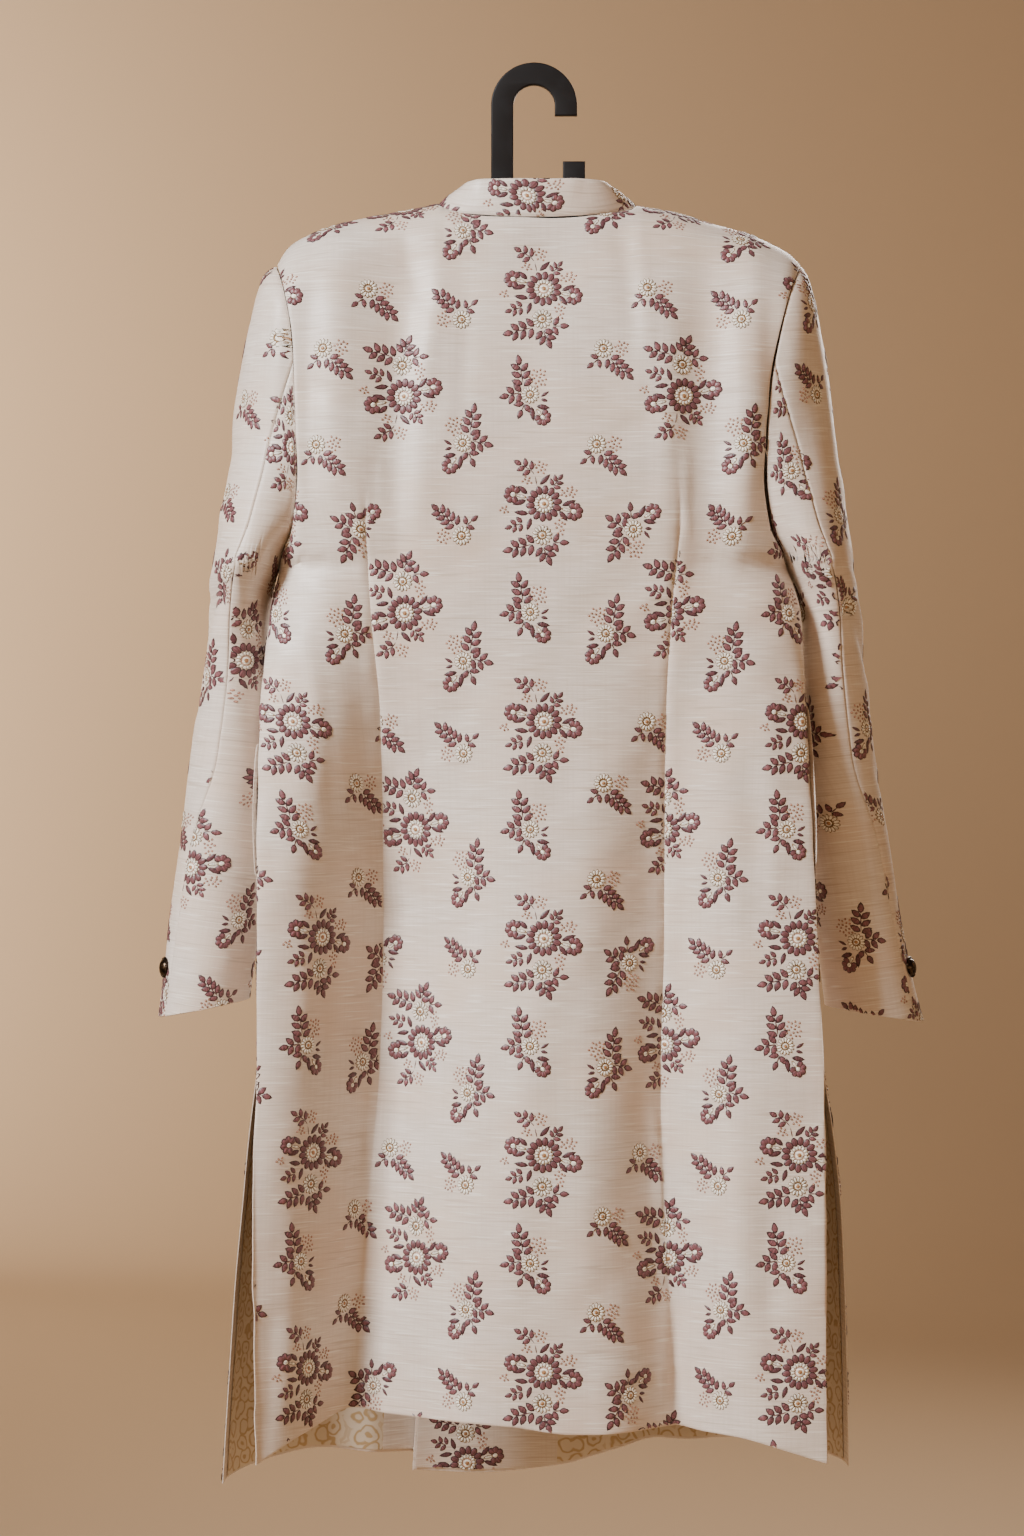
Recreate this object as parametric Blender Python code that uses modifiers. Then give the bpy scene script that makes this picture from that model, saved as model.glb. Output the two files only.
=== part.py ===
"""A knee-length sherwani coat hanging from a flat moulded hanger.

The coat faces +Y, so its back is on the -Y side, and +X is the wearer's right.
The origin is the seat of the hanger's hook, the highest point inside its arch.
Every table is in millimetres and is turned to metres when a mesh is made.
"""

import math

import bmesh
import bpy
import numpy as np
from mathutils import Vector

MM = 0.001

# cloth and seams
CLOTH = 2.0                 # silk with its interlining
LINING = 1.0
SEAM_GAP = 0.3              # between two pieces at a seam, and between layers
HALF_GAP = SEAM_GAP / 2
EDGE_INSET = 4.0            # lining and facing stop short of the turned edges

# heights
UNDERARM_Z = -428.0
ARM_ROUND_Z = -320.0        # the armhole starts to round in below this height
VENT_TOP_Z = -878.0
TURN = 50.0                 # how far down the cloth turns over the shoulder

# shares of the half width
NECK_SHARE = 0.38           # where the neck ends and the shoulder seam starts
DART_SHARE = 0.50           # the column that becomes the long back dart
DART_TOP_Z = -215.0         # columns start to lean towards the dart here
DART_FULL_Z = -405.0
VALLEY_HEM_Z = -1200.0
FRONT_HEM_Z = -1240.0

# sections across the coat: 2 is an ellipse, more is flatter with rounder sides
BACK_SECTION = 3.0
FRONT_SECTION = 2.3

# neck and collar
NECK_BACK_Y = -45.0
NECK_FRONT_Y = 54.0
NECK_BACK_DROP = 16.5
NECK_FRONT_DROP = 58.0
NECK_FRONT_DIP = 1.4        # above 1 the front neckline dips towards a point
COLLAR_TOP_HALF = 62.0
COLLAR_TOP_BACK_Y = -41.0
COLLAR_TOP_FRONT_Y = 47.0
COLLAR_TOP_BACK_Z = -89.0
COLLAR_TOP_FRONT_Z = -131.0
COLLAR_SQUARE = 0.5         # the top edge is squarer than the neck seam
COLLAR_END_X = 1.0          # half the gap between the two ends in front

# front closing
LAP = 6.0                   # the under front lies this far inside the over front
LAP_FROM_X = 52.0
LAP_FULL_X = 26.0

# rows down the coat: armhole, body to the vent, and vent to hem
ARM_ROWS = (-162, -168, -184, -212, -254, -304, -352, -390, -416, -428)
BODY_ROWS = (-470, -530, -600, -690, -785, -878)
SKIRT_SHARES = (0.25, 0.5, 0.75, 1.0)
LINED_FROM_ROW = 14         # lining and facing show from just above the vents
SHOULDER_SHARES = (1.0, 0.95, 0.86, 0.74, 0.62, 0.50, 0.38)
NECK_SHARES = (0.26, 0.13)
LEFT_FRONT_NECK = (-60, -30, -1, 20)        # over front, ends past the centre
RIGHT_FRONT_NECK = (62, 34, 4, -30)         # under front
LEFT_FACING_COLUMN = 5
RIGHT_FACING_COLUMN = 7
SLEEVE_ROWS = (0, 0.012, 0.035, 0.075, 0.13, 0.2, 0.29, 0.4, 0.52, 0.64, 0.76, 0.88, 1)
BACK_SEAM = 5               # sleeve seam columns, counted from the underarm
FRONT_SEAM = 14

# buttons
BUTTON_RADIUS = 9.5
BUTTON_HEIGHT = 5.5
BUTTON_STANDOFF = 1.0
BUTTON_RIM = 1.0            # height of the straight rim under the dome
BUTTON_EASE = 0.6           # chamfer around the flat back
DOME_STEPS = 5
BUTTON_SIDES = 18
BUTTON_COLUMN_SHARE = 0.2   # of the way from the over front's second column to its edge
FRONT_BUTTON_TOP_Z = -196.0
FRONT_BUTTON_STEP = 82.0
FRONT_BUTTONS = 7
CUFF_BUTTON_Z = -789.0
CUFF_BUTTON_TURN = -20.0    # degrees from the sleeve's outer edge, towards the back

# hanger
HOOK_X = -1.7
HOOK_INNER = 18.5
HOOK_OUTER = 38.4
HOOK_TIP = 9.0              # straight end past the arch
POST_X = (24.0, 43.8)
POST_TOP_Z = -68.6
HOOK_PLATE = 8.0            # thickness of the moulded hook and of the shoulder bar
BAR_PLATE = 12.0
BAR_HALF = 185.0
BAR_UNDER_CLOTH = 7.0       # below the shoulder's outer face
BAR_DEPTH = 30.0            # at the neck
BAR_END_DEPTH = 13.0
BAR_TAPER = 0.7             # how late the bar thins towards its ends
BAR_STATIONS = (-165, -140, -115, -88, -40, 90, 115, 140, 165)
PLATE_BEVEL = 1.0

# shading and corners
SHARP_DEGREES = 50
FOLDED_EDGE = -0.2          # below this cosine, two pieces share no mitre

SHOULDER_LINE = (
    ("share", "left_z", "right_z"),
    (0.38, -108, -108),
    (0.50, -112, -114),
    (0.62, -117.5, -121),
    (0.74, -124, -129),
    (0.86, -133.5, -139.5),
    (0.95, -145, -150),
    (1.00, -162, -162),
)

BODY = (
    ("z", "left_x", "right_x", "back_y", "front_y", "side_y", "arm_y"),
    (-162, 231, 236, -52, 60, 0, 50),
    (-190, 222, 224, -60, 67, 0, 56),
    (-230, 215, 214, -68, 75, 0, 60),
    (-285, 212, 205, -73, 80, 0, 62),
    (-350, 210, 202, -75, 84, 0, 64),
    (-395, 214, 207, -74, 84, 0, 66),
    (-428, 228, 222, -73, 84, 0, 67),
    (-470, 236, 234, -72, 84, -20, 64),
    (-530, 242, 237, -70, 85, -38, 62),
    (-600, 245, 240, -68, 87, -50, 58),
    (-700, 245.5, 245, -66, 90, -57, 52),
    (-800, 246, 249, -65, 95, -60, 46),
    (-878, 246, 253, -65, 100, -61, 43),
    (-1250, 246, 255, -63, 116, -61, 43),
)

BACK_EDGE = (
    ("z", "left_x", "right_x", "left_y", "right_y"),
    (-878, 246, 253, -61, -61),
    (-1000, 247, 254, -72, -60),
    (-1250, 243, 256, -76, -58),
)

FRONT_EDGE = (
    ("z", "left_x", "right_x", "y"),
    (-878, 246, 253, -61),
    (-925, 252.5, 261, -53),
    (-995, 260, 269.5, -39),
    (-1065, 267.5, 274, -27),
    (-1140, 273, 277, -18),
    (-1250, 280, 279, -12),
)

CENTRE_EDGES = (
    ("z", "over_x", "under_x"),
    (-108, 20, -30),
    (-170, 20, -30),
    (-428, 22, -52),
    (-878, 25, -88),
    (-1250, 26, -113),
)

BACK_HEM = (
    ("x", "z"),
    (-246, -1219),
    (-216, -1202),
    (-188, -1189),
    (-166, -1181),
    (-129, -1184),
    (-60, -1185),
    (-23, -1187),
    (33, -1194),
    (87, -1193),
    (124, -1192),
    (144, -1195),
    (178, -1198),
    (256, -1220),
)

OVER_FRONT_HEM = (
    ("x", "z"),
    (-280, -1246),
    (-256, -1239),
    (-198, -1231),
    (-143, -1236),
    (-60, -1242),
    (26, -1246),
)

UNDER_FRONT_HEM = (
    ("x", "z"),
    (-113, -1255),
    (-51, -1259),
    (23, -1252),
    (78, -1237),
    (115, -1224),
    (200, -1222),
    (279, -1230),
)

# the two long back darts open into deep folds towards the hem
BACK_VALLEYS = (
    ("z", "left_x", "left_depth", "left_side", "right_x", "right_depth"),
    (-400, 150, 0, 62, 126, 0),
    (-480, 145, 10, 62, 118, 5),
    (-560, 138, 28, 64, 114, 12),
    (-650, 136.5, 52, 80, 113, 20),
    (-756, 136.5, 72, 102, 113, 28),
    (-878, 140, 72, 104, 110, 32),
    (-1000, 150, 70, 96, 113, 36),
    (-1200, 165, 68, 80, 127, 40),
)
LEFT_VALLEY_CENTRE = 150            # how far the left fold reaches towards the centre
RIGHT_VALLEY_WIDTHS = (75, 85)      # towards the centre, towards the side
VALLEY_POWER = 0.75

FRONT_VALLEYS = (
    ("z", "left_depth", "right_depth"),
    (-450, 0, 0),
    (-800, 13, 16),
    (-1250, 20, 24),
)
FRONT_VALLEY_X = (-150, 140)
FRONT_VALLEY_WIDTH = 65

SLEEVE = (
    ("z", "left_out", "left_in", "right_out", "right_in", "mid_y", "half_y", "turn"),
    (-162, 231, 231, 236, 236, 0, 50, 0),
    (-166, 238, 229, 239, 231, 0, 51, 0),
    (-174, 244.6, 226, 243.5, 228, 0, 53, 0),
    (-210, 254, 218, 252.5, 219, 0, 58, 0),
    (-245, 261.6, 214, 259, 211, 0, 61, 0),
    (-285, 267, 212, 264, 205, 0, 62, 0),
    (-350, 275, 210, 273, 202, 0, 64, 0),
    (-428, 287.5, 228, 283, 222, 0, 67, 0),
    (-450, 291, 235, 287, 231.5, 13, 66, 0),
    (-480, 294.5, 238, 291, 236.5, 24, 64, 0),
    (-530, 299, 236, 297, 235, 34, 62, 2),
    (-600, 311, 236, 307.5, 235, 40, 58, 6),
    (-680, 322.5, 239, 319.5, 240, 43, 54, 34),
    (-740, 330, 247, 329, 248, 44, 50, 40),
    (-790, 336, 255, 339, 257, 44, 47, 43),
    (-840, 342, 261, 351, 264, 44, 44, 45),
)
CUFF_Z = {"left": (-818, -834), "right": (-824, -838)}      # inner side, outer side

# pocket mouths in the side seams: top, bottom
POCKETS = {"left": (-589, -704), "right": (-556, -694)}
LIP_WIDTH = 9.0             # on the front, beside the seam
LIP_CLEAR = 0.7             # off the front's faceted face
LIP_STAND = 3.0             # how far the mouth's edge stands off at its middle
LIP_THICK = 1.2
LIP_GAPE = 0.6              # below 1 the mouth opens quickly from its ends
LIP_MIDDLE = 0.5            # share of the gape at the lip's middle line
LIP_LEAN = 0.4              # share of the gape by which the edge leans to the back
LIP_ROWS = 7

COLOURS = {
    "silk": ((0.54, 0.46, 0.40, 1), 0.55, 0.0),
    "silk_facing": ((0.50, 0.43, 0.37, 1), 0.55, 0.0),
    "brocade_lining": ((0.20, 0.14, 0.10, 1), 0.45, 0.0),
    "antique_metal": ((0.09, 0.07, 0.06, 1), 0.35, 1.0),
    "black_plastic": ((0.015, 0.015, 0.017, 1), 0.45, 0.0),
}


# ---------------------------------------------------------------- tables and curves


def read(table, name, at, by="z"):
    """Read one column of a table at a height or place, along a smooth curve."""
    header = table[0]
    rows = sorted(table[1:], key=lambda row: row[header.index(by)])
    known = np.array([row[header.index(by)] for row in rows], float)
    values = np.array([row[header.index(name)] for row in rows], float)
    at = min(max(at, known[0]), known[-1])
    k = min(max(int(np.searchsorted(known, at)) - 1, 0), len(known) - 2)
    steps = np.diff(values) / np.diff(known)

    def slope(i):
        if i == 0 or i == len(steps):
            return steps[min(i, len(steps) - 1)]
        if steps[i - 1] * steps[i] <= 0:
            return 0.0
        return 2 * steps[i - 1] * steps[i] / (steps[i - 1] + steps[i])

    span = known[k + 1] - known[k]
    t = (at - known[k]) / span
    start = (1 + 2 * t) * (1 - t) ** 2 * values[k] + t * (1 - t) ** 2 * span * slope(k)
    end = t * t * (3 - 2 * t) * values[k + 1] - t * t * (1 - t) * span * slope(k + 1)
    return start + end


def quarter(share):
    """A quarter round: 0 at the start with an upright tangent, 1 from share 1 on."""
    share = min(max(share, 0.0), 1.0)
    return math.sqrt(1 - (1 - share) ** 2)


def rounded(share, power):
    """The section of a flattened tube: 1 in the middle, 0 at the side seam."""
    share = min(abs(share), 1.0)
    return (1 - share ** power) ** (1 / power)


def smooth(share):
    share = min(max(share, 0.0), 1.0)
    return share * share * (3 - 2 * share)


def valley(x, centre, inner, outer):
    """A fold's section: 1 at its crease, 0 at the given distances on each side."""
    towards_side = (abs(x) - abs(centre)) if x * centre > 0 else -abs(x - centre)
    width = outer if towards_side > 0 else inner
    share = min(abs(x - centre) / width, 1.0)
    return 0.5 * (1 + math.cos(math.pi * share ** VALLEY_POWER))


# ---------------------------------------------------------------- the coat's form


def arm_ratio(z):
    """How open the armhole is at a height: 1 above, rounding in to 0 at the underarm."""
    drop = (ARM_ROUND_Z - z) / (ARM_ROUND_Z - UNDERARM_Z)
    drop = min(max(drop, 0.0), 1.0)
    return math.sqrt(1 - drop * drop)


def shoulder_top(share):
    return read(SHOULDER_LINE, "left_z" if share < 0 else "right_z", abs(share), by="share")


def neck_round(share):
    return math.sqrt(max(0.0, 1 - (share / NECK_SHARE) ** 2))


def top_edge(share, front):
    """Height and depth of the cloth's top edge: the neck seam, then the shoulder seam."""
    if abs(share) >= NECK_SHARE:
        return shoulder_top(share), 0.0
    bow = neck_round(share)
    if front:
        return shoulder_top(NECK_SHARE) - NECK_FRONT_DROP * bow ** NECK_FRONT_DIP, NECK_FRONT_Y * bow
    return shoulder_top(NECK_SHARE) - NECK_BACK_DROP * bow, NECK_BACK_Y * bow


def half_width(x_sign, z, edges=BODY):
    return read(edges, "left_x" if x_sign < 0 else "right_x", z)


def turned_over(full_y, top_z, top_y, z):
    return top_y + (full_y - top_y) * quarter((top_z - z) / TURN)


def back_point(share, z):
    """A point on the back, from the left side (-1) to the right side (1)."""
    top_z, top_y = top_edge(share, front=False)
    side = -1 if share < 0 else 1
    edges = BACK_EDGE if z < VENT_TOP_Z else BODY
    x = share * half_width(side, z, edges)
    if z > UNDERARM_Z:
        edge_y = -read(BODY, "arm_y", z) * arm_ratio(z)
    elif z > VENT_TOP_Z:
        edge_y = read(BODY, "side_y", z)
    else:
        edge_y = read(BACK_EDGE, "left_y" if share < 0 else "right_y", z)
    full_y = edge_y + (read(BODY, "back_y", z) - edge_y) * rounded(share, BACK_SECTION)
    left = -read(BACK_VALLEYS, "left_x", z)
    right = read(BACK_VALLEYS, "right_x", z)
    left_side = read(BACK_VALLEYS, "left_side", z)
    full_y += read(BACK_VALLEYS, "left_depth", z) * valley(x, left, LEFT_VALLEY_CENTRE, left_side)
    full_y += read(BACK_VALLEYS, "right_depth", z) * valley(x, right, *RIGHT_VALLEY_WIDTHS)
    return np.array([x, turned_over(full_y, top_z, top_y, z), z])


def front_depth(x, z):
    """Depth of the over front's outer face at a place across the coat."""
    edges = FRONT_EDGE if z < VENT_TOP_Z else BODY
    share = x / half_width(x, z, edges)
    top_z, top_y = top_edge(x / half_width(x, max(z, ARM_ROWS[0])), front=True)
    if z > UNDERARM_Z:
        edge_y = read(BODY, "arm_y", z) * arm_ratio(z)
    elif z > VENT_TOP_Z:
        edge_y = read(BODY, "side_y", z)
    else:
        edge_y = read(FRONT_EDGE, "y", z)
    full_y = edge_y + (read(BODY, "front_y", z) - edge_y) * rounded(share, FRONT_SECTION)
    for fold_x, name in zip(FRONT_VALLEY_X, ("left_depth", "right_depth")):
        fold = valley(x, fold_x, FRONT_VALLEY_WIDTH, FRONT_VALLEY_WIDTH)
        full_y -= read(FRONT_VALLEYS, name, z) * fold
    return full_y, top_z, top_y


def front_point(side, across, z):
    """A point on a front, from its side seam (0) to its centre edge (1)."""
    edges = FRONT_EDGE if z < VENT_TOP_Z else BODY
    sign = -1 if side == "left" else 1
    edge_x = read(CENTRE_EDGES, "over_x" if side == "left" else "under_x", z)
    side_x = sign * half_width(sign, z, edges)
    x = side_x + (edge_x - side_x) * across
    full_y, top_z, top_y = front_depth(x, z)
    y = turned_over(full_y, top_z, top_y, z)
    if side == "right":
        y -= LAP * smooth((LAP_FROM_X - x) / (LAP_FROM_X - LAP_FULL_X))
    return np.array([x, y, z])


def dart_warp(share, z):
    """Lean the columns so that one of them follows the long dart and its fold."""
    name = "left_x" if share < 0 else "right_x"
    target = read(BACK_VALLEYS, name, z) / half_width(share, z)
    pull = smooth((DART_TOP_Z - z) / (DART_TOP_Z - DART_FULL_Z))
    dart = DART_SHARE + (target - DART_SHARE) * pull
    size = abs(share)
    if size < DART_SHARE:
        size *= dart / DART_SHARE
    else:
        size = 1 - (1 - size) * (1 - dart) / (1 - DART_SHARE)
    return math.copysign(size, share)


def row_heights(top_z, hem_z):
    """Heights down one column: the edge rows' own shares, from its top to its hem."""
    edge_rows = ARM_ROWS + BODY_ROWS
    tip = ARM_ROWS[0]
    upper = [top_z + (VENT_TOP_Z - top_z) * (tip - z) / (tip - VENT_TOP_Z) for z in edge_rows]
    lower = [VENT_TOP_Z + (hem_z - VENT_TOP_Z) * share for share in SKIRT_SHARES]
    return upper + lower


def back_grid():
    half = SHOULDER_SHARES + NECK_SHARES
    columns = []
    for share in [-s for s in half] + [0.0] + list(half[::-1]):
        top_z, _ = top_edge(share, front=False)
        hem_x = dart_warp(share, VALLEY_HEM_Z) * half_width(share, VALLEY_HEM_Z, BACK_EDGE)
        heights = row_heights(top_z, read(BACK_HEM, "z", hem_x, by="x"))
        columns.append([back_point(dart_warp(share, z), z) for z in heights])
    return np.array(columns).transpose(1, 0, 2)


def front_grid(side):
    sign = -1 if side == "left" else 1
    tip_x = half_width(sign, ARM_ROWS[0])
    neck = LEFT_FRONT_NECK if side == "left" else RIGHT_FRONT_NECK
    tops = [sign * share * tip_x for share in SHOULDER_SHARES] + list(neck)
    edge_x = neck[-1]
    hem = OVER_FRONT_HEM if side == "left" else UNDER_FRONT_HEM
    columns = []
    for top_x in tops:
        across = (top_x - sign * tip_x) / (edge_x - sign * tip_x)
        top_z, _ = top_edge(top_x / half_width(top_x, ARM_ROWS[0]), front=True)
        hem_x = front_point(side, across, FRONT_HEM_Z)[0]
        heights = row_heights(top_z, read(hem, "z", hem_x, by="x"))
        columns.append([front_point(side, across, z) for z in heights])
    if side == "left":
        columns.reverse()
    return np.array(columns).transpose(1, 0, 2)


def sleeve_ring(column):
    """Height of the armhole at a sleeve column, counted from the underarm up the back."""
    count = len(ARM_ROWS) - 1
    column %= 2 * count
    return float(ARM_ROWS[count - column] if column <= count else ARM_ROWS[column - count])


def ring_index(z):
    """The sleeve column, as a fraction, whose armhole height is z."""
    heights = ARM_ROWS[::-1]
    return float(np.interp(z, heights, range(len(heights))))


def sleeve_point(side, turn, z):
    """A point on a sleeve: turn is the angle from its outer edge, negative at the back."""
    sign = -1 if side == "left" else 1
    outer = read(SLEEVE, side + "_out", z)
    inner = half_width(sign, z) if z > UNDERARM_Z else read(SLEEVE, side + "_in", z)
    opening = math.pi - math.asin(arm_ratio(z)) if z > UNDERARM_Z else math.pi
    radius = (outer - inner) / (1 - math.cos(opening))
    half_y = read(BODY, "arm_y", z) if z > UNDERARM_Z else read(SLEEVE, "half_y", z)
    half_y *= quarter((ARM_ROWS[0] - z) / TURN)
    x = outer - radius * (1 - math.cos(turn))
    y = read(SLEEVE, "mid_y", z) + half_y * math.sin(turn)
    return np.array([sign * x, y, z])


def sleeve_turn(column, z):
    """Angle of a sleeve column at a height."""
    tip = len(ARM_ROWS) - 1
    share = (column % (2 * tip) - tip) / max(tip - ring_index(z), 1e-6)
    opening = math.pi - math.asin(arm_ratio(z)) if z > UNDERARM_Z else math.pi
    return share * opening + math.radians(read(SLEEVE, "turn", z))


def sleeve_grid(side, columns):
    inner_z, outer_z = CUFF_Z[side]
    grid = []
    for column in columns:
        top_z = sleeve_ring(column)
        end_turn = sleeve_turn(column, outer_z)
        cuff_z = (inner_z + outer_z) / 2 + (outer_z - inner_z) / 2 * math.cos(end_turn)
        heights = [top_z + (cuff_z - top_z) * share for share in SLEEVE_ROWS]
        grid.append([sleeve_point(side, sleeve_turn(column, z), z) for z in heights])
    if side == "left":
        grid.reverse()
    return np.array(grid).transpose(1, 0, 2)


def collar_grid():
    """The stand collar, from its left end at the front, round the back, to its right end."""
    left_tip = half_width(-1, ARM_ROWS[0])
    right_tip = half_width(1, ARM_ROWS[0])
    back_shares = (NECK_SHARE,) + NECK_SHARES
    stations = [(-COLLAR_END_X / left_tip, True)]
    stations += [(x / left_tip, True) for x in LEFT_FRONT_NECK[1::-1]]
    stations += [(-s, False) for s in back_shares] + [(0.0, False)]
    stations += [(s, False) for s in back_shares[::-1]]
    stations += [(x / right_tip, True) for x in RIGHT_FRONT_NECK[:2] + LEFT_FRONT_NECK[-1:]]
    stations += [(COLLAR_END_X / right_tip, True)]
    low, high = [], []
    for share, front in stations:
        z, y = top_edge(share, front)
        x = share * (left_tip if share < 0 else right_tip)
        sine = share / NECK_SHARE
        cosine = neck_round(share) * (1 if front else -1)
        low.append((x, y, z + SEAM_GAP))
        top_y = COLLAR_TOP_FRONT_Y if front else -COLLAR_TOP_BACK_Y
        fall = smooth(max(cosine, 0.0)) * (COLLAR_TOP_FRONT_Z - COLLAR_TOP_BACK_Z)
        high.append((
            math.copysign(abs(sine) ** COLLAR_SQUARE, sine) * COLLAR_TOP_HALF,
            math.copysign(abs(cosine) ** COLLAR_SQUARE, cosine) * top_y,
            COLLAR_TOP_BACK_Z + fall,
        ))
    low = np.array(low)
    high = np.array(high)
    return np.array([high + (low - high) * share for share in (0, 0.5, 1)])


# ---------------------------------------------------------------- walls


def face_sums(grid, sums):
    """Add each face's normal to its four corners, keyed by their places."""
    across = grid[1:, 1:] - grid[:-1, :-1]
    down = grid[1:, :-1] - grid[:-1, 1:]
    normals = np.cross(down, across)
    for i in range(grid.shape[0] - 1):
        for j in range(grid.shape[1] - 1):
            for corner in (grid[i, j], grid[i + 1, j], grid[i, j + 1], grid[i + 1, j + 1]):
                key = tuple(np.round(corner, 2))
                sums[key] = sums.get(key, np.zeros(3)) + normals[i, j]


def unit(vector):
    length = np.linalg.norm(vector)
    return vector / length if length > 1e-9 else vector


def wall_normals(grid, shared):
    """Outward normals that neighbouring pieces share along a seam, so walls meet in a mitre."""
    own = {}
    face_sums(grid, own)
    normals = np.zeros_like(grid)
    for i in range(grid.shape[0]):
        for j in range(grid.shape[1]):
            key = tuple(np.round(grid[i, j], 2))
            mine = unit(own[key])
            others = unit(shared[key] - own[key])
            folded = np.dot(mine, others) < FOLDED_EDGE
            normals[i, j] = mine if folded else unit(shared[key])
    return normals


def pull_in(grid, left=0.0, right=0.0, top=0.0, bottom=0.0):
    """Move a grid's edges towards its middle by the given distances."""
    moved = grid.copy()
    for size, edge, inside in (
        (left, np.s_[:, 0], np.s_[:, 1]),
        (right, np.s_[:, -1], np.s_[:, -2]),
        (top, np.s_[0], np.s_[1]),
        (bottom, np.s_[-1], np.s_[-2]),
    ):
        way = grid[inside] - grid[edge]
        length = np.linalg.norm(way, axis=-1, keepdims=True)
        moved[edge] += way / np.maximum(length, 1e-6) * size
    return moved


def new_object(name, mesh, material):
    mesh.materials.append(material)
    mesh.shade_smooth()
    mesh.set_sharp_from_angle(angle=math.radians(SHARP_DEGREES))
    piece = bpy.data.objects.new(name, mesh)
    coat.objects.link(piece)
    return piece


def add_wall(name, outer, normals, thickness, material):
    """A closed wall between a grid of outer points and the same grid moved inwards."""
    rows, columns = outer.shape[:2]
    bm = bmesh.new()
    out = [[bm.verts.new(p * MM) for p in row] for row in outer]
    inn = [[bm.verts.new(p * MM) for p in row] for row in outer - normals * thickness]

    def quad(a, b, c, d):
        bm.faces.new((a, b, c))
        bm.faces.new((a, c, d))

    for i in range(rows - 1):
        for j in range(columns - 1):
            quad(out[i][j], out[i + 1][j], out[i + 1][j + 1], out[i][j + 1])
            quad(inn[i][j], inn[i][j + 1], inn[i + 1][j + 1], inn[i + 1][j])
    for j in range(columns - 1):
        quad(out[0][j], out[0][j + 1], inn[0][j + 1], inn[0][j])
        quad(out[-1][j], inn[-1][j], inn[-1][j + 1], out[-1][j + 1])
    for i in range(rows - 1):
        quad(out[i][0], inn[i][0], inn[i + 1][0], out[i + 1][0])
        quad(out[i][-1], out[i + 1][-1], inn[i + 1][-1], inn[i][-1])
    bmesh.ops.recalc_face_normals(bm, faces=bm.faces[:])
    mesh = bpy.data.meshes.new(name)
    bm.to_mesh(mesh)
    bm.free()
    return new_object(name, mesh, material)


def grid_place(grid, column, z):
    """The point and outward normal on a faceted grid, at a fractional column and a height."""
    j = min(int(column), grid.shape[1] - 2)
    share = column - j
    line = grid[:, j] * (1 - share) + grid[:, j + 1] * share
    i = int(np.argmax(line[1:, 2] <= z))
    drop = (line[i, 2] - z) / (line[i, 2] - line[i + 1, 2])
    point = line[i] * (1 - drop) + line[i + 1] * drop
    across = (grid[i, j + 1] - grid[i, j]) * (1 - drop) + (grid[i + 1, j + 1] - grid[i + 1, j]) * drop
    return point, unit(np.cross(line[i + 1] - line[i], across))


# ---------------------------------------------------------------- materials


def make_material(name):
    colour, roughness, metallic = COLOURS[name]
    material = bpy.data.materials.new(name)
    material.use_nodes = True
    shader = material.node_tree.nodes["Principled BSDF"]
    shader.inputs["Base Color"].default_value = colour
    shader.inputs["Roughness"].default_value = roughness
    shader.inputs["Metallic"].default_value = metallic
    return material


# ---------------------------------------------------------------- pieces


def add_shell(materials):
    """The back, the two fronts, and the two-piece sleeves, which share their seams."""
    grids = {
        "back": back_grid(),
        "front_left_over": front_grid("left"),
        "front_right_under": front_grid("right"),
    }
    ring = 2 * (len(ARM_ROWS) - 1)
    for side in ("left", "right"):
        grids["sleeve_top_" + side] = sleeve_grid(side, range(BACK_SEAM, FRONT_SEAM + 1))
        grids["sleeve_under_" + side] = sleeve_grid(side, range(FRONT_SEAM, BACK_SEAM + ring + 1))
    shared = {}
    for grid in grids.values():
        face_sums(grid, shared)
    for name, grid in grids.items():
        normals = wall_normals(grid, shared)
        seams = pull_in(grid, left=HALF_GAP, right=HALF_GAP, top=HALF_GAP)
        add_wall(name, seams, normals, CLOTH, materials["silk"])
    return grids


def add_front_inside(grids, materials):
    """Facing and lining of each front, where they show inside the open skirt."""
    cuts = {
        "left": ("front_left_over", np.s_[:LEFT_FACING_COLUMN + 1], np.s_[LEFT_FACING_COLUMN:]),
        "right": ("front_right_under", np.s_[RIGHT_FACING_COLUMN:], np.s_[:RIGHT_FACING_COLUMN + 1]),
    }
    for side, (front, facing, lining) in cuts.items():
        grid = grids[front]
        own = {}
        face_sums(grid, own)
        normals = wall_normals(grid, own)
        inside = (grid - normals * (CLOTH + SEAM_GAP))[LINED_FROM_ROW:]
        normals = normals[LINED_FROM_ROW:]
        for name, columns, material in (
            ("facing_", facing, "silk_facing"),
            ("lining_", lining, "brocade_lining"),
        ):
            first = columns.start in (None, 0)
            left = EDGE_INSET if first else HALF_GAP
            right = HALF_GAP if first else EDGE_INSET
            piece = pull_in(inside[:, columns], left=left, right=right, bottom=EDGE_INSET)
            add_wall(name + side, piece, normals[:, columns], LINING, materials[material])


def add_collar(materials):
    grid = pull_in(collar_grid(), bottom=SEAM_GAP)
    own = {}
    face_sums(grid, own)
    add_wall("collar", grid, wall_normals(grid, own), CLOTH, materials["silk"])


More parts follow.
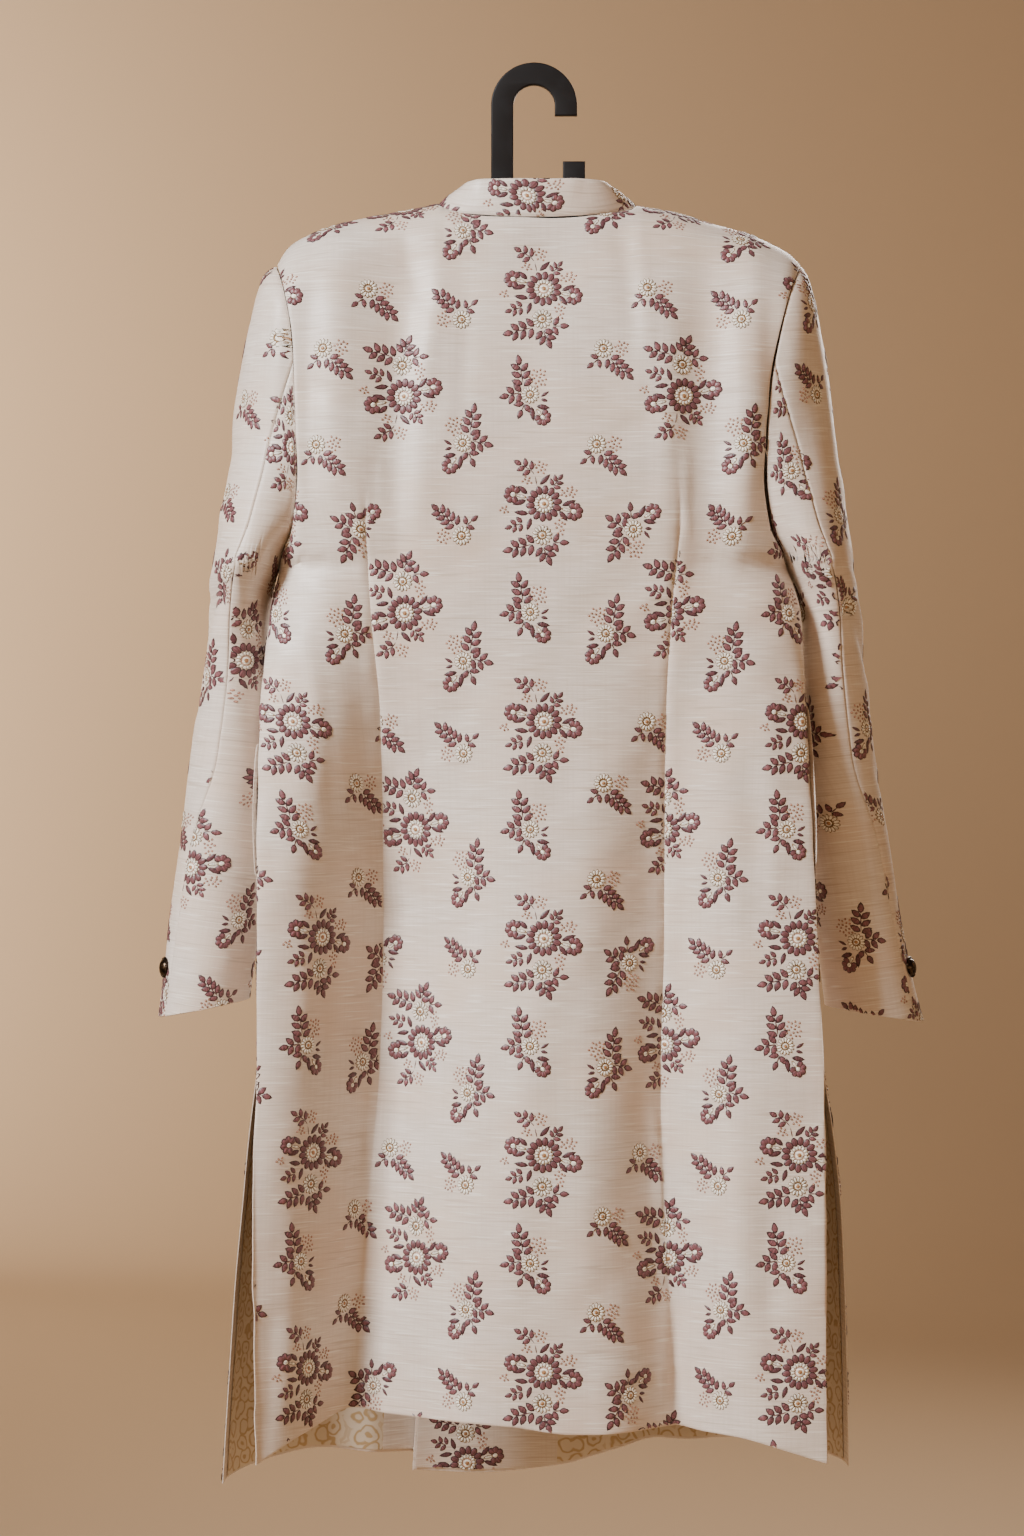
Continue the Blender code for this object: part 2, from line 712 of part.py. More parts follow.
def add_pocket_lips(grids, materials):
    """A narrow welt on each front's side edge, whose middle stands a little open."""
    for side, (top_z, low_z) in POCKETS.items():
        front = grids["front_left_over" if side == "left" else "front_right_under"]
        seam_column = front.shape[1] - 1 if side == "left" else 0
        sign = -1 if side == "left" else 1
        rows = []
        for share in np.linspace(0, 1, LIP_ROWS):
            z = top_z + (low_z - top_z) * share
            seam, normal = grid_place(front, seam_column, z)
            near, _ = grid_place(front, seam_column + sign, z)
            gape = LIP_STAND * math.sin(math.pi * share) ** LIP_GAPE
            inner = seam + unit(near - seam) * LIP_WIDTH + normal * LIP_CLEAR
            middle = seam + unit(near - seam) * LIP_WIDTH / 3
            middle += normal * (LIP_CLEAR + gape * LIP_MIDDLE)
            outer = seam + np.array([sign * (LIP_CLEAR + gape), -LIP_LEAN * gape, 0.0])
            row = [inner, middle, outer]
            rows.append(row if side == "left" else row[::-1])
        grid = np.array(rows)
        own = {}
        face_sums(grid, own)
        normals = wall_normals(grid, own)
        lip = grid + normals * LIP_THICK
        add_wall("pocket_lip_" + side, lip, normals, LIP_THICK, materials["silk_facing"])


def button_mesh(material):
    """A turned dome with a flat back, as the profile that the Screw modifier turns."""
    bm = bmesh.new()
    points = []
    for angle in np.radians(np.linspace(90, 10, DOME_STEPS)):
        dome = BUTTON_RIM + (BUTTON_HEIGHT - BUTTON_RIM) * math.sin(angle)
        points.append((BUTTON_RADIUS * math.cos(angle), dome))
    points += [(BUTTON_RADIUS, BUTTON_EASE), (BUTTON_RADIUS - BUTTON_EASE, 0.0), (0.0, 0.0)]
    verts = [bm.verts.new((x * MM, 0, z * MM)) for x, z in points]
    for start, end in zip(verts, verts[1:]):
        bm.edges.new((start, end))
    mesh = bpy.data.meshes.new("button_profile")
    bm.to_mesh(mesh)
    bm.free()
    mesh.materials.append(material)
    return mesh


def add_button(name, mesh, point, normal):
    button = bpy.data.objects.new(name, mesh)
    coat.objects.link(button)
    turned = button.modifiers.new("turned", "SCREW")
    turned.steps = BUTTON_SIDES
    turned.render_steps = BUTTON_SIDES
    turned.use_merge_vertices = True
    turned.merge_threshold = 0.00001
    button.location = (point + normal * BUTTON_STANDOFF) * MM
    button.rotation_euler = Vector(normal).to_track_quat("Z", "Y").to_euler()


def add_buttons(grids, materials):
    mesh = button_mesh(materials["antique_metal"])
    front = grids["front_left_over"]
    for k in range(FRONT_BUTTONS):
        z = FRONT_BUTTON_TOP_Z - k * FRONT_BUTTON_STEP
        point, normal = grid_place(front, 1 - BUTTON_COLUMN_SHARE, z)
        add_button("front_button_%d" % (k + 1), mesh, point, normal)
    for side in ("left", "right"):
        sleeve = grids["sleeve_top_" + side]
        angles = [sleeve_turn(column, CUFF_BUTTON_Z) for column in range(BACK_SEAM, FRONT_SEAM + 1)]
        target = math.radians(CUFF_BUTTON_TURN)
        column = float(np.interp(target, angles, range(len(angles))))
        if side == "left":
            column = sleeve.shape[1] - 1 - column
        point, normal = grid_place(sleeve, column, CUFF_BUTTON_Z)
        add_button("cuff_button_" + side, mesh, point, normal)


def add_plate(name, outline, thickness, material):
    """A flat moulding: an outline in the XZ plane with eased edges."""
    curve = bpy.data.curves.new(name, "CURVE")
    curve.dimensions = "2D"
    curve.fill_mode = "BOTH"
    curve.extrude = (thickness / 2 - PLATE_BEVEL) * MM
    curve.bevel_depth = PLATE_BEVEL * MM
    curve.bevel_resolution = 1
    curve.offset = -PLATE_BEVEL * MM
    spline = curve.splines.new("POLY")
    spline.points.add(len(outline) - 1)
    for point, (x, z) in zip(spline.points, outline):
        point.co = (x * MM, z * MM, 0, 1)
    spline.use_cyclic_u = True
    curve.materials.append(material)
    piece = bpy.data.objects.new(name, curve)
    piece.rotation_euler = (math.radians(90), 0, 0)
    coat.objects.link(piece)


def arc(centre, radius, start, end, count):
    angles = np.radians(np.linspace(start, end, count))
    return [(centre[0] + radius * math.cos(a), centre[1] + radius * math.sin(a)) for a in angles]


def add_hanger(materials):
    """The flat hook, and the shoulder bar with the short post beside the hook."""
    plastic = materials["black_plastic"]
    centre = (HOOK_X, -HOOK_INNER)
    foot_z = shoulder_top(NECK_SHARE) - BAR_UNDER_CLOTH + SEAM_GAP
    tip_z = centre[1] - HOOK_TIP
    hook = [(HOOK_X - HOOK_OUTER, foot_z)]
    hook += arc(centre, HOOK_OUTER, 180, 0, 25)
    hook += [(HOOK_X + HOOK_OUTER, tip_z), (HOOK_X + HOOK_INNER, tip_z)]
    hook += arc(centre, HOOK_INNER, 0, 180, 17)
    hook += [(HOOK_X - HOOK_INNER, foot_z)]
    add_plate("hanger_hook", hook, HOOK_PLATE, plastic)

    def bar_top(x):
        return shoulder_top(x / half_width(x, ARM_ROWS[0])) - BAR_UNDER_CLOTH

    stations = sorted(BAR_STATIONS + POST_X + (-BAR_HALF, BAR_HALF))
    top = []
    for x in stations:
        if x == POST_X[1]:
            top.append((x, POST_TOP_Z))
        top.append((x, bar_top(x)))
        if x == POST_X[0]:
            top.append((x, POST_TOP_Z))
    low = []
    for x in stations[::-1]:
        depth = BAR_END_DEPTH + (BAR_DEPTH - BAR_END_DEPTH) * (1 - abs(x) / BAR_HALF) ** BAR_TAPER
        low.append((x, bar_top(x) - depth))
    add_plate("hanger_bar", top + low, BAR_PLATE, plastic)


def main():
    materials = {name: make_material(name) for name in COLOURS}
    grids = add_shell(materials)
    add_front_inside(grids, materials)
    add_collar(materials)
    add_pocket_lips(grids, materials)
    add_buttons(grids, materials)
    add_hanger(materials)


for leftover in list(bpy.data.objects):
    bpy.data.objects.remove(leftover, do_unlink=True)
coat = bpy.data.collections.new("sherwani_coat_on_hanger")
bpy.context.scene.collection.children.link(coat)
main()
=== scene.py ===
import math

import bmesh
import bpy
import numpy as np
from mathutils import Matrix, Vector


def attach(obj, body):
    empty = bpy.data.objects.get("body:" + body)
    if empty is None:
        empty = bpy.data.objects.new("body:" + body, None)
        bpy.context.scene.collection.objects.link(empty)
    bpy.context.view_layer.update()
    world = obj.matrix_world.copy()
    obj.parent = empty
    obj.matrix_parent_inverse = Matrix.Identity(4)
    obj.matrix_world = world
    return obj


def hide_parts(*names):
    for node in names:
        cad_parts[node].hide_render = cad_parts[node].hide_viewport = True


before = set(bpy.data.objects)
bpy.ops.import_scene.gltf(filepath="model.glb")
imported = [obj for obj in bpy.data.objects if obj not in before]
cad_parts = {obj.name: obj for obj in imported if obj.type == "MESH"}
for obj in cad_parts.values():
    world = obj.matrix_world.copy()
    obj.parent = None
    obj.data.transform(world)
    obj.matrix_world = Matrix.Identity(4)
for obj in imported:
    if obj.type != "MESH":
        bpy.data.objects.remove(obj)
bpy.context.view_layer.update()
mm = 0.001

# Heights and shares of the coat's form, in mm. The origin is the seat of the hook,
# the back faces -Y, and +X is the wearer's right.
form = {
    "tipZ": -162.0,             # where the shoulder meets the sleeve
    "armRoundZ": -320.0,
    "underarmZ": -428.0,
    "ventTopZ": -878.0,
    "turn": 50.0,               # how far down the cloth turns over the shoulder
    "neckShare": 0.38,
    "dartShare": 0.50,
    "dartTopZ": -215.0,
    "dartFullZ": -405.0,
    "valleyHemZ": -1200.0,
    "frontHemZ": -1240.0,
    "shoulderHalf": 234.0,
    "skirtLong": 340.0,         # below the tops of the vents
    "backSection": 3.0,         # 2 is an ellipse, more is flatter with rounder sides
    "frontSection": 2.3,
    "neckBackY": -45.0,
    "neckFrontY": 54.0,
    "neckBackDrop": 16.5,
    "neckFrontDrop": 58.0,
    "neckFrontDip": 1.4,
    "lap": 6.0,
    "lapFromX": 52.0,
    "lapFullX": 26.0,
    "valleyPower": 0.75,
    "leftValleyCentre": 150,
    "rightValleyWidths": (75, 85),
    "frontValleyX": (-150, 140),
    "frontValleyWidth": 65,
}

armRows = (-162, -168, -184, -212, -254, -304, -352, -390, -416, -428)

shoulderLine = (
    ("share", "leftZ", "rightZ"),
    (0.38, -108, -108),
    (0.50, -112, -114),
    (0.62, -117.5, -121),
    (0.74, -124, -129),
    (0.86, -133.5, -139.5),
    (0.95, -145, -150),
    (1.00, -162, -162),
)

bodyTable = (
    ("z", "leftX", "rightX", "backY", "frontY", "sideY", "armY"),
    (-162, 231, 236, -52, 60, 0, 50),
    (-190, 222, 224, -60, 67, 0, 56),
    (-230, 215, 214, -68, 75, 0, 60),
    (-285, 212, 205, -73, 80, 0, 62),
    (-350, 210, 202, -75, 84, 0, 64),
    (-395, 214, 207, -74, 84, 0, 66),
    (-428, 228, 222, -73, 84, 0, 67),
    (-470, 236, 234, -72, 84, -20, 64),
    (-530, 242, 237, -70, 85, -38, 62),
    (-600, 245, 240, -68, 87, -50, 58),
    (-700, 245.5, 245, -66, 90, -57, 52),
    (-800, 246, 249, -65, 95, -60, 46),
    (-878, 246, 253, -65, 100, -61, 43),
    (-1250, 246, 255, -63, 116, -61, 43),
)

backEdge = (
    ("z", "leftX", "rightX", "leftY", "rightY"),
    (-878, 246, 253, -61, -61),
    (-1000, 247, 254, -72, -60),
    (-1250, 243, 256, -76, -58),
)

frontEdge = (
    ("z", "leftX", "rightX", "y"),
    (-878, 246, 253, -61),
    (-925, 252.5, 261, -53),
    (-995, 260, 269.5, -39),
    (-1065, 267.5, 274, -27),
    (-1140, 273, 277, -18),
    (-1250, 280, 279, -12),
)

centreEdges = (
    ("z", "overX", "underX"),
    (-108, 20, -30),
    (-170, 20, -30),
    (-428, 22, -52),
    (-878, 25, -88),
    (-1250, 26, -113),
)

backHem = (
    ("x", "z"),
    (-246, -1219),
    (-216, -1202),
    (-188, -1189),
    (-166, -1181),
    (-129, -1184),
    (-60, -1185),
    (-23, -1187),
    (33, -1194),
    (87, -1193),
    (124, -1192),
    (144, -1195),
    (178, -1198),
    (256, -1220),
)

overFrontHem = (
    ("x", "z"),
    (-280, -1246),
    (-256, -1239),
    (-198, -1231),
    (-143, -1236),
    (-60, -1242),
    (26, -1246),
)

underFrontHem = (
    ("x", "z"),
    (-113, -1255),
    (-51, -1259),
    (23, -1252),
    (78, -1237),
    (115, -1224),
    (200, -1222),
    (279, -1230),
)

backValleys = (
    ("z", "leftX", "leftDepth", "leftSide", "rightX", "rightDepth"),
    (-400, 150, 0, 62, 126, 0),
    (-480, 145, 10, 62, 118, 5),
    (-560, 138, 28, 64, 114, 12),
    (-650, 136.5, 52, 80, 113, 20),
    (-756, 136.5, 72, 102, 113, 28),
    (-878, 140, 72, 104, 110, 32),
    (-1000, 150, 70, 96, 113, 36),
    (-1200, 165, 68, 80, 127, 40),
)

frontValleys = (
    ("z", "leftDepth", "rightDepth"),
    (-450, 0, 0),
    (-800, 13, 16),
    (-1250, 20, 24),
)

# cloth that the two back darts take up, which cuts the design along them
dartIntake = (
    ("z", "taken"),
    (-1120, 0),
    (-1030, 2),
    (-850, 8),
    (-660, 14),
    (-480, 15),
    (-420, 10),
    (-370, 0),
)

sleeveTable = (
    ("z", "leftOut", "leftIn", "rightOut", "rightIn", "midY", "halfY", "turn"),
    (-162, 231, 231, 236, 236, 0, 50, 0),
    (-166, 238, 229, 239, 231, 0, 51, 0),
    (-174, 244.6, 226, 243.5, 228, 0, 53, 0),
    (-210, 254, 218, 252.5, 219, 0, 58, 0),
    (-245, 261.6, 214, 259, 211, 0, 61, 0),
    (-285, 267, 212, 264, 205, 0, 62, 0),
    (-350, 275, 210, 273, 202, 0, 64, 0),
    (-428, 287.5, 228, 283, 222, 0, 67, 0),
    (-450, 291, 235, 287, 231.5, 13, 66, 0),
    (-480, 294.5, 238, 291, 236.5, 24, 64, 0),
    (-530, 299, 236, 297, 235, 34, 62, 2),
    (-600, 311, 236, 307.5, 235, 40, 58, 6),
    (-680, 322.5, 239, 319.5, 240, 43, 54, 34),
    (-740, 330, 247, 329, 248, 44, 50, 40),
    (-790, 336, 255, 339, 257, 44, 47, 43),
    (-840, 342, 261, 351, 264, 44, 44, 45),
)


def readTable(table, name, at, by="z"):
    # a smooth curve through the table's rows that never overshoots them
    header = table[0]
    rows = sorted(table[1:], key=lambda row: row[header.index(by)])
    known = np.array([row[header.index(by)] for row in rows], float)
    values = np.array([row[header.index(name)] for row in rows], float)
    at = np.clip(at, known[0], known[-1])
    span = np.diff(known)
    steps = np.diff(values) / span
    product = steps[:-1] * steps[1:]
    total = np.where(product > 0, steps[:-1] + steps[1:], 1.0)
    inner = np.where(product > 0, 2 * product / total, 0.0)
    slopes = np.concatenate(([steps[0]], inner, [steps[-1]]))
    k = np.clip(np.searchsorted(known, at) - 1, 0, len(span) - 1)
    t = (at - known[k]) / span[k]
    start = (1 + 2 * t) * (1 - t) ** 2 * values[k] + t * (1 - t) ** 2 * span[k] * slopes[k]
    end = t * t * (3 - 2 * t) * values[k + 1] - t * t * (1 - t) * span[k] * slopes[k + 1]
    return start + end


def quarter(share):
    return np.sqrt(1 - (1 - np.clip(share, 0, 1)) ** 2)


def rounded(share, power):
    return (1 - np.minimum(np.abs(share), 1) ** power) ** (1 / power)


def smooth(share):
    share = np.clip(share, 0, 1)
    return share * share * (3 - 2 * share)


def valley(x, centre, inner, outer):
    towardsSide = (x - centre) * np.sign(centre) > 0
    share = np.minimum(np.abs(x - centre) / np.where(towardsSide, outer, inner), 1)
    return 0.5 * (1 + np.cos(math.pi * share ** form["valleyPower"]))


def armRatio(z):
    drop = (form["armRoundZ"] - z) / (form["armRoundZ"] - form["underarmZ"])
    return np.sqrt(1 - np.clip(drop, 0, 1) ** 2)


def bySide(table, left, right, x, at, by="z"):
    return np.where(x < 0, readTable(table, left, at, by), readTable(table, right, at, by))


def halfWidth(x, z, edges=bodyTable):
    return bySide(edges, "leftX", "rightX", x, z)


def shoulderTop(share):
    return bySide(shoulderLine, "leftZ", "rightZ", share, np.abs(share), by="share")


def neckRound(share):
    return np.sqrt(np.maximum(0, 1 - (share / form["neckShare"]) ** 2))


def topEdge(share, front):
    bow = neckRound(share)
    seat = shoulderTop(form["neckShare"])
    if front:
        neckZ = seat - form["neckFrontDrop"] * bow ** form["neckFrontDip"]
        neckY = form["neckFrontY"] * bow
    else:
        neckZ = seat - form["neckBackDrop"] * bow
        neckY = form["neckBackY"] * bow
    onShoulder = np.abs(share) >= form["neckShare"]
    return np.where(onShoulder, shoulderTop(share), neckZ), np.where(onShoulder, 0, neckY)


def atHeight(z, arm, body, skirt):
    return np.where(z > form["underarmZ"], arm, np.where(z > form["ventTopZ"], body, skirt))


def edgeWidth(x, z, skirtEdge):
    return np.where(z < form["ventTopZ"], halfWidth(x, z, skirtEdge), halfWidth(x, z))


def backDepth(x, z):
    # depth of the back's outer face, before it turns over the shoulder
    arm = -readTable(bodyTable, "armY", z) * armRatio(z)
    skirtY = bySide(backEdge, "leftY", "rightY", x, z)
    edgeY = atHeight(z, arm, readTable(bodyTable, "sideY", z), skirtY)
    share = x / edgeWidth(x, z, backEdge)
    y = edgeY + (readTable(bodyTable, "backY", z) - edgeY) * rounded(share, form["backSection"])
    left = -readTable(backValleys, "leftX", z)
    right = readTable(backValleys, "rightX", z)
    leftSide = readTable(backValleys, "leftSide", z)
    y += readTable(backValleys, "leftDepth", z) * valley(x, left, form["leftValleyCentre"], leftSide)
    y += readTable(backValleys, "rightDepth", z) * valley(x, right, *form["rightValleyWidths"])
    return y


def frontDepth(x, z):
    arm = readTable(bodyTable, "armY", z) * armRatio(z)
    edgeY = atHeight(z, arm, readTable(bodyTable, "sideY", z), readTable(frontEdge, "y", z))
    share = x / edgeWidth(x, z, frontEdge)
    y = edgeY + (readTable(bodyTable, "frontY", z) - edgeY) * rounded(share, form["frontSection"])
    for foldX, name in zip(form["frontValleyX"], ("leftDepth", "rightDepth")):
        fold = valley(x, foldX, form["frontValleyWidth"], form["frontValleyWidth"])
        y -= readTable(frontValleys, name, z) * fold
    return y


def turnedOver(y, topZ, topY, z):
    return topY + (y - topY) * quarter((topZ - z) / form["turn"])


def dartWarp(share, z):
    # lean the columns so that one of them follows the long dart
    dartX = bySide(backValleys, "leftX", "rightX", share, z)
    pull = smooth((form["dartTopZ"] - z) / (form["dartTopZ"] - form["dartFullZ"]))
    plain = form["dartShare"]
    dart = plain + (dartX / halfWidth(share, z) - plain) * pull
    size = np.abs(share)
    inside = size * dart / plain
    outside = 1 - (1 - size) * (1 - dart) / (1 - plain)
    return np.sign(share) * np.where(size < plain, inside, outside)


def downRows(topZ, hemZ, step):
    # heights down each column: close together over the shoulder and by the hem
    tall, skirt = form["tipZ"] - form["ventTopZ"], form["skirtLong"]
    turn = [form["turn"] * (1 - math.cos(a)) for a in np.linspace(0, math.pi / 2, 15)]
    drops = turn + list(np.linspace(form["turn"], tall, int((tall - form["turn"]) / step))[1:])
    shares = list(np.linspace(0, 1 - 8 / skirt, int(skirt / step))[1:])
    shares += [1 - 5 / skirt, 1 - 2.5 / skirt, 1 - 1 / skirt, 1]
    upper = topZ + (form["ventTopZ"] - topZ) * (np.array(drops)[:, None] / tall)
    lower = form["ventTopZ"] + (hemZ - form["ventTopZ"]) * np.array(shares)[:, None]
    return np.concatenate([upper, lower])


def acrossColumns(start, end, step, width, close=()):
    # even columns with some close ones at both ends and beside the named places
    count = int(abs(end - start) * width / step)
    columns = list(np.linspace(start, end, count))
    for place in (start, end) + tuple(close):
        columns += [place + side * gap / width for gap in (0, 1, 2.4, 4.5) for side in (-1, 1)]
    low, high = min(start, end), max(start, end)
    columns = sorted(c for c in columns if low - 1e-9 <= c <= high + 1e-9)
    kept = [columns[0]]
    for c in columns[1:]:
        if (c - kept[-1]) * width > 0.6:
            kept.append(c)
    kept[-1] = high
    return np.array(kept if start < end else kept[::-1])


def alongWidth(depth, x, z):
    # length along the cloth from the centre at one height, found on a coarse map
    apart, across = 15.0, 2.0
    levels = np.arange(-1290, -100, apart)
    places = np.arange(-300, 301, across)
    mapX, mapZ = np.meshgrid(places, levels)
    steps = np.sqrt(np.diff(depth(mapX, mapZ), axis=1) ** 2 + across ** 2)
    lengths = np.concatenate([np.zeros((len(levels), 1)), np.cumsum(steps, axis=1)], axis=1)
    lengths -= np.array([np.interp(0.0, places, row) for row in lengths])[:, None]
    column = np.clip((x - places[0]) / across, 0, len(places) - 1.001)
    level = np.clip((z - levels[0]) / apart, 0, len(levels) - 1.001)
    j, i = column.astype(int), level.astype(int)
    s, t = column - j, level - i
    low = lengths[i, j] * (1 - s) + lengths[i, j + 1] * s
    high = lengths[i + 1, j] * (1 - s) + lengths[i + 1, j + 1] * s
    return low * (1 - t) + high * t


def upTheCloth(grid, topZ):
    # height on the flat cloth: the real height, and the arc where it turns over the shoulder
    v = grid[..., 2].copy()
    runs = np.hypot(np.diff(grid[..., 1], axis=0), np.diff(grid[..., 2], axis=0))
    for i in range(len(runs) - 1, -1, -1):
        turned = grid[i, :, 2] > topZ - form["turn"]
        v[i] = np.where(turned, v[i + 1] + runs[i], v[i])
    return v


def backGrid(step):
    darts = (-form["dartShare"], form["dartShare"])
    shares = acrossColumns(-1, 1, step["x"], form["shoulderHalf"], close=darts)
    share = shares[None, :]
    topZ, topY = topEdge(share, False)
    hemX = dartWarp(share, form["valleyHemZ"]) * halfWidth(share, form["valleyHemZ"], backEdge)
    z = downRows(topZ, readTable(backHem, "z", hemX, by="x"), step["z"])
    warped = dartWarp(share, z)
    x = warped * edgeWidth(warped, z, backEdge)
    y = turnedOver(backDepth(x, z), topZ, topY, z)
    grid = np.stack([x, y, z], axis=-1)
    uv = np.stack([alongWidth(backDepth, x, z), upTheCloth(grid, topZ[0])], axis=-1)
    return grid, uv, shares


def frontGrid(side, step):
    sign = -1 if side == "left" else 1
    tipX = sign * float(halfWidth(sign, form["tipZ"]))
    name = "overX" if side == "left" else "underX"
    endX = float(readTable(centreEdges, name, form["tipZ"]))
    across = acrossColumns(0, 1, step["x"], abs(endX - tipX))[None, :]
    topX = tipX + (endX - tipX) * across
    columnTopZ = topEdge(topX / halfWidth(topX, form["tipZ"]), True)[0]

    def place(z):
        sideX = sign * edgeWidth(sign, z, frontEdge)
        return sideX + (readTable(centreEdges, name, z) - sideX) * across

    hem = overFrontHem if side == "left" else underFrontHem
    z = downRows(columnTopZ, readTable(hem, "z", place(form["frontHemZ"]), by="x"), step["z"])
    x = place(z)
    topZ, topY = topEdge(x / halfWidth(x, np.maximum(z, form["tipZ"])), True)
    y = turnedOver(frontDepth(x, z), topZ, topY, z)
    if side == "right":
        y -= form["lap"] * smooth((form["lapFromX"] - x) / (form["lapFromX"] - form["lapFullX"]))
    grid = np.stack([x, y, z], axis=-1)
    uv = np.stack([-alongWidth(frontDepth, x, z), upTheCloth(grid, columnTopZ[0])], axis=-1)
    if side == "left":
        return grid[:, ::-1], uv[:, ::-1]
    return grid, uv


def sleeveGrid(side, columns, step):
    # columns count round the armhole from the underarm, up the back and down the front
    sign = -1 if side == "left" else 1
    tip = len(armRows) - 1
    column = acrossColumns(columns[0], columns[1], step["x"], 15.0)[None, :]
    turnCount = column % (2 * tip)
    ring = np.where(turnCount <= tip, tip - turnCount, turnCount - tip)
    topZ = np.interp(ring, range(tip + 1), armRows)

    def opening(z):
        return np.where(z > form["underarmZ"], math.pi - np.arcsin(armRatio(z)), math.pi)

    def turnAt(z):
        index = np.interp(z, armRows[::-1], range(tip + 1))
        share = (turnCount - tip) / np.maximum(tip - index, 1e-6)
        share = np.clip(share, -1, 1)
        return share * opening(z) + np.radians(readTable(sleeveTable, "turn", z))

    inner, outer = sleevePiece["cuffZ"][side]
    endTurn = turnAt(np.full_like(column, outer))
    cuffZ = (inner + outer) / 2 + (outer - inner) / 2 * np.cos(endTurn)
    early = np.linspace(0, 1, 22)[:-1] ** 2 * 0.13
    late = np.linspace(0.13, 1 - 0.008, int(580 / step["z"]))
    down = np.concatenate([early, late, [1 - 0.005, 1 - 0.0025, 1 - 0.001, 1]])[:, None]
    z = topZ + (cuffZ - topZ) * down
    turn = turnAt(z)
    out = readTable(sleeveTable, side + "Out", z)
    body = readTable(bodyTable, side + "X", z)
    inX = np.where(z > form["underarmZ"], body, readTable(sleeveTable, side + "In", z))
    radius = (out - inX) / (1 - np.cos(opening(z)))
    arm = readTable(bodyTable, "armY", z)
    halfY = np.where(z > form["underarmZ"], arm, readTable(sleeveTable, "halfY", z))
    halfY = halfY * quarter((form["tipZ"] - z) / form["turn"])
    x = out - radius * (1 - np.cos(turn))
    y = readTable(sleeveTable, "midY", z) + halfY * np.sin(turn)
    grid = np.stack([sign * x, y, z], axis=-1)
    if side == "left":
        grid = grid[:, ::-1]
    middle = grid.shape[1] // 2
    runs = np.linalg.norm(np.diff(grid[..., :2], axis=1), axis=-1)
    u = np.concatenate([np.zeros((len(grid), 1)), np.cumsum(runs, axis=1)], axis=1)
    u -= u[:, middle:middle + 1]
    lean = sign * np.interp(grid[..., 2], (-840, -450), (0.13, 0.10))
    v = grid[..., 2] - lean * (grid[..., 0] - sign * 270)
    return grid, np.stack([u, v], axis=-1)


def collarGrid(piece):
    # from the collar's left end at the front, round the back, to its right end
    ends = piece["endGap"] / 2 / float(halfWidth(-1, form["tipZ"])) / form["neckShare"]
    ease = 0.5 * (1 - np.cos(math.pi * np.linspace(0, 1, piece["columns"])))
    angle = np.concatenate([math.pi / 2 * (k + ease[:-1]) for k in (-2, -1, 0, 1)] + [[math.pi]])
    angle = angle * (1 - ends / math.pi)
    share = form["neckShare"] * np.sin(angle)
    low = np.zeros((len(angle), 3))
    high = np.zeros((len(angle), 3))
    for front in (False, True):
        here = (np.cos(angle) < 0) == front
        z, y = topEdge(share[here], front)
        low[here, 0] = share[here] * halfWidth(share[here], form["tipZ"])
        low[here, 1] = y
        low[here, 2] = z + piece["seamGap"]
    sine, cosine = np.sin(angle), -np.cos(angle)
    topY = np.where(cosine > 0, piece["topFrontY"], -piece["topBackY"])
    fall = smooth(np.maximum(cosine, 0)) * (piece["topFrontZ"] - piece["topBackZ"])
    high[:, 0] = np.sign(sine) * np.abs(sine) ** piece["square"] * piece["topHalf"]
    high[:, 1] = np.sign(cosine) * np.abs(cosine) ** piece["square"] * topY
    high[:, 2] = piece["topBackZ"] + fall
    down = np.array([0, 0.03, 0.08, 0.15, 0.25, 0.37, 0.5, 0.63, 0.75, 0.86, 0.94, 1])
    grid = high[None] + (low - high)[None] * down[:, None, None]
    bulge = np.sin(math.pi * down)[:, None] * piece["bulge"]
    grid = grid + outward(grid) * bulge[..., None]
    runs = np.linalg.norm(np.diff(grid[6], axis=0), axis=-1)
    u = np.concatenate([[0], np.cumsum(runs)])
    u -= np.interp(0, angle, u)
    heights = np.linalg.norm(low - high, axis=-1)
    v = -down[:, None] * heights[None, :]
    uv = np.stack([np.broadcast_to(u, v.shape), v], axis=-1)
    return grid, uv


def outward(grid):
    across = np.gradient(grid, axis=1)
    down = np.gradient(grid, axis=0)
    normals = np.cross(down, across)
    length = np.linalg.norm(normals, axis=-1, keepdims=True)
    return normals / np.maximum(length, 1e-9)


def creaseField(a, b, creases):
    # each crease runs from one place to another and may bow sideways; it is deepest midway
    total = np.zeros(a.shape)
    for startA, startB, endA, endB, bow, width, height in creases:
        run = np.array([endA - startA, endB - startB], float)
        length = np.linalg.norm(run)
        run /= length
        along = ((a - startA) * run[0] + (b - startB) * run[1]) / length
        aside = -(a - startA) * run[1] + (b - startB) * run[0]
        middle = np.clip(4 * along * (1 - along), 0, 1)
        off = (aside - bow * middle) / width
        total += height * np.exp(-off ** 2) * middle ** 0.8
    return total


def ripples(u, v, seed, height, lengths):
    # the slight unevenness of pressed silk: a few crossing waves of uneven length
    random = np.random.default_rng(seed)
    total = np.zeros(u.shape)
    for k in range(7):
        alongU = random.uniform(*lengths[0]) * random.choice([-1, 1])
        alongV = random.uniform(*lengths[1])
        phase = random.uniform(0, 2 * math.pi)
        bend = 8 * np.sin(v / random.uniform(70, 140) + phase)
        total += np.sin(2 * math.pi * ((u + bend) / alongU + v / alongV) + phase)
    return total * height / 2.6


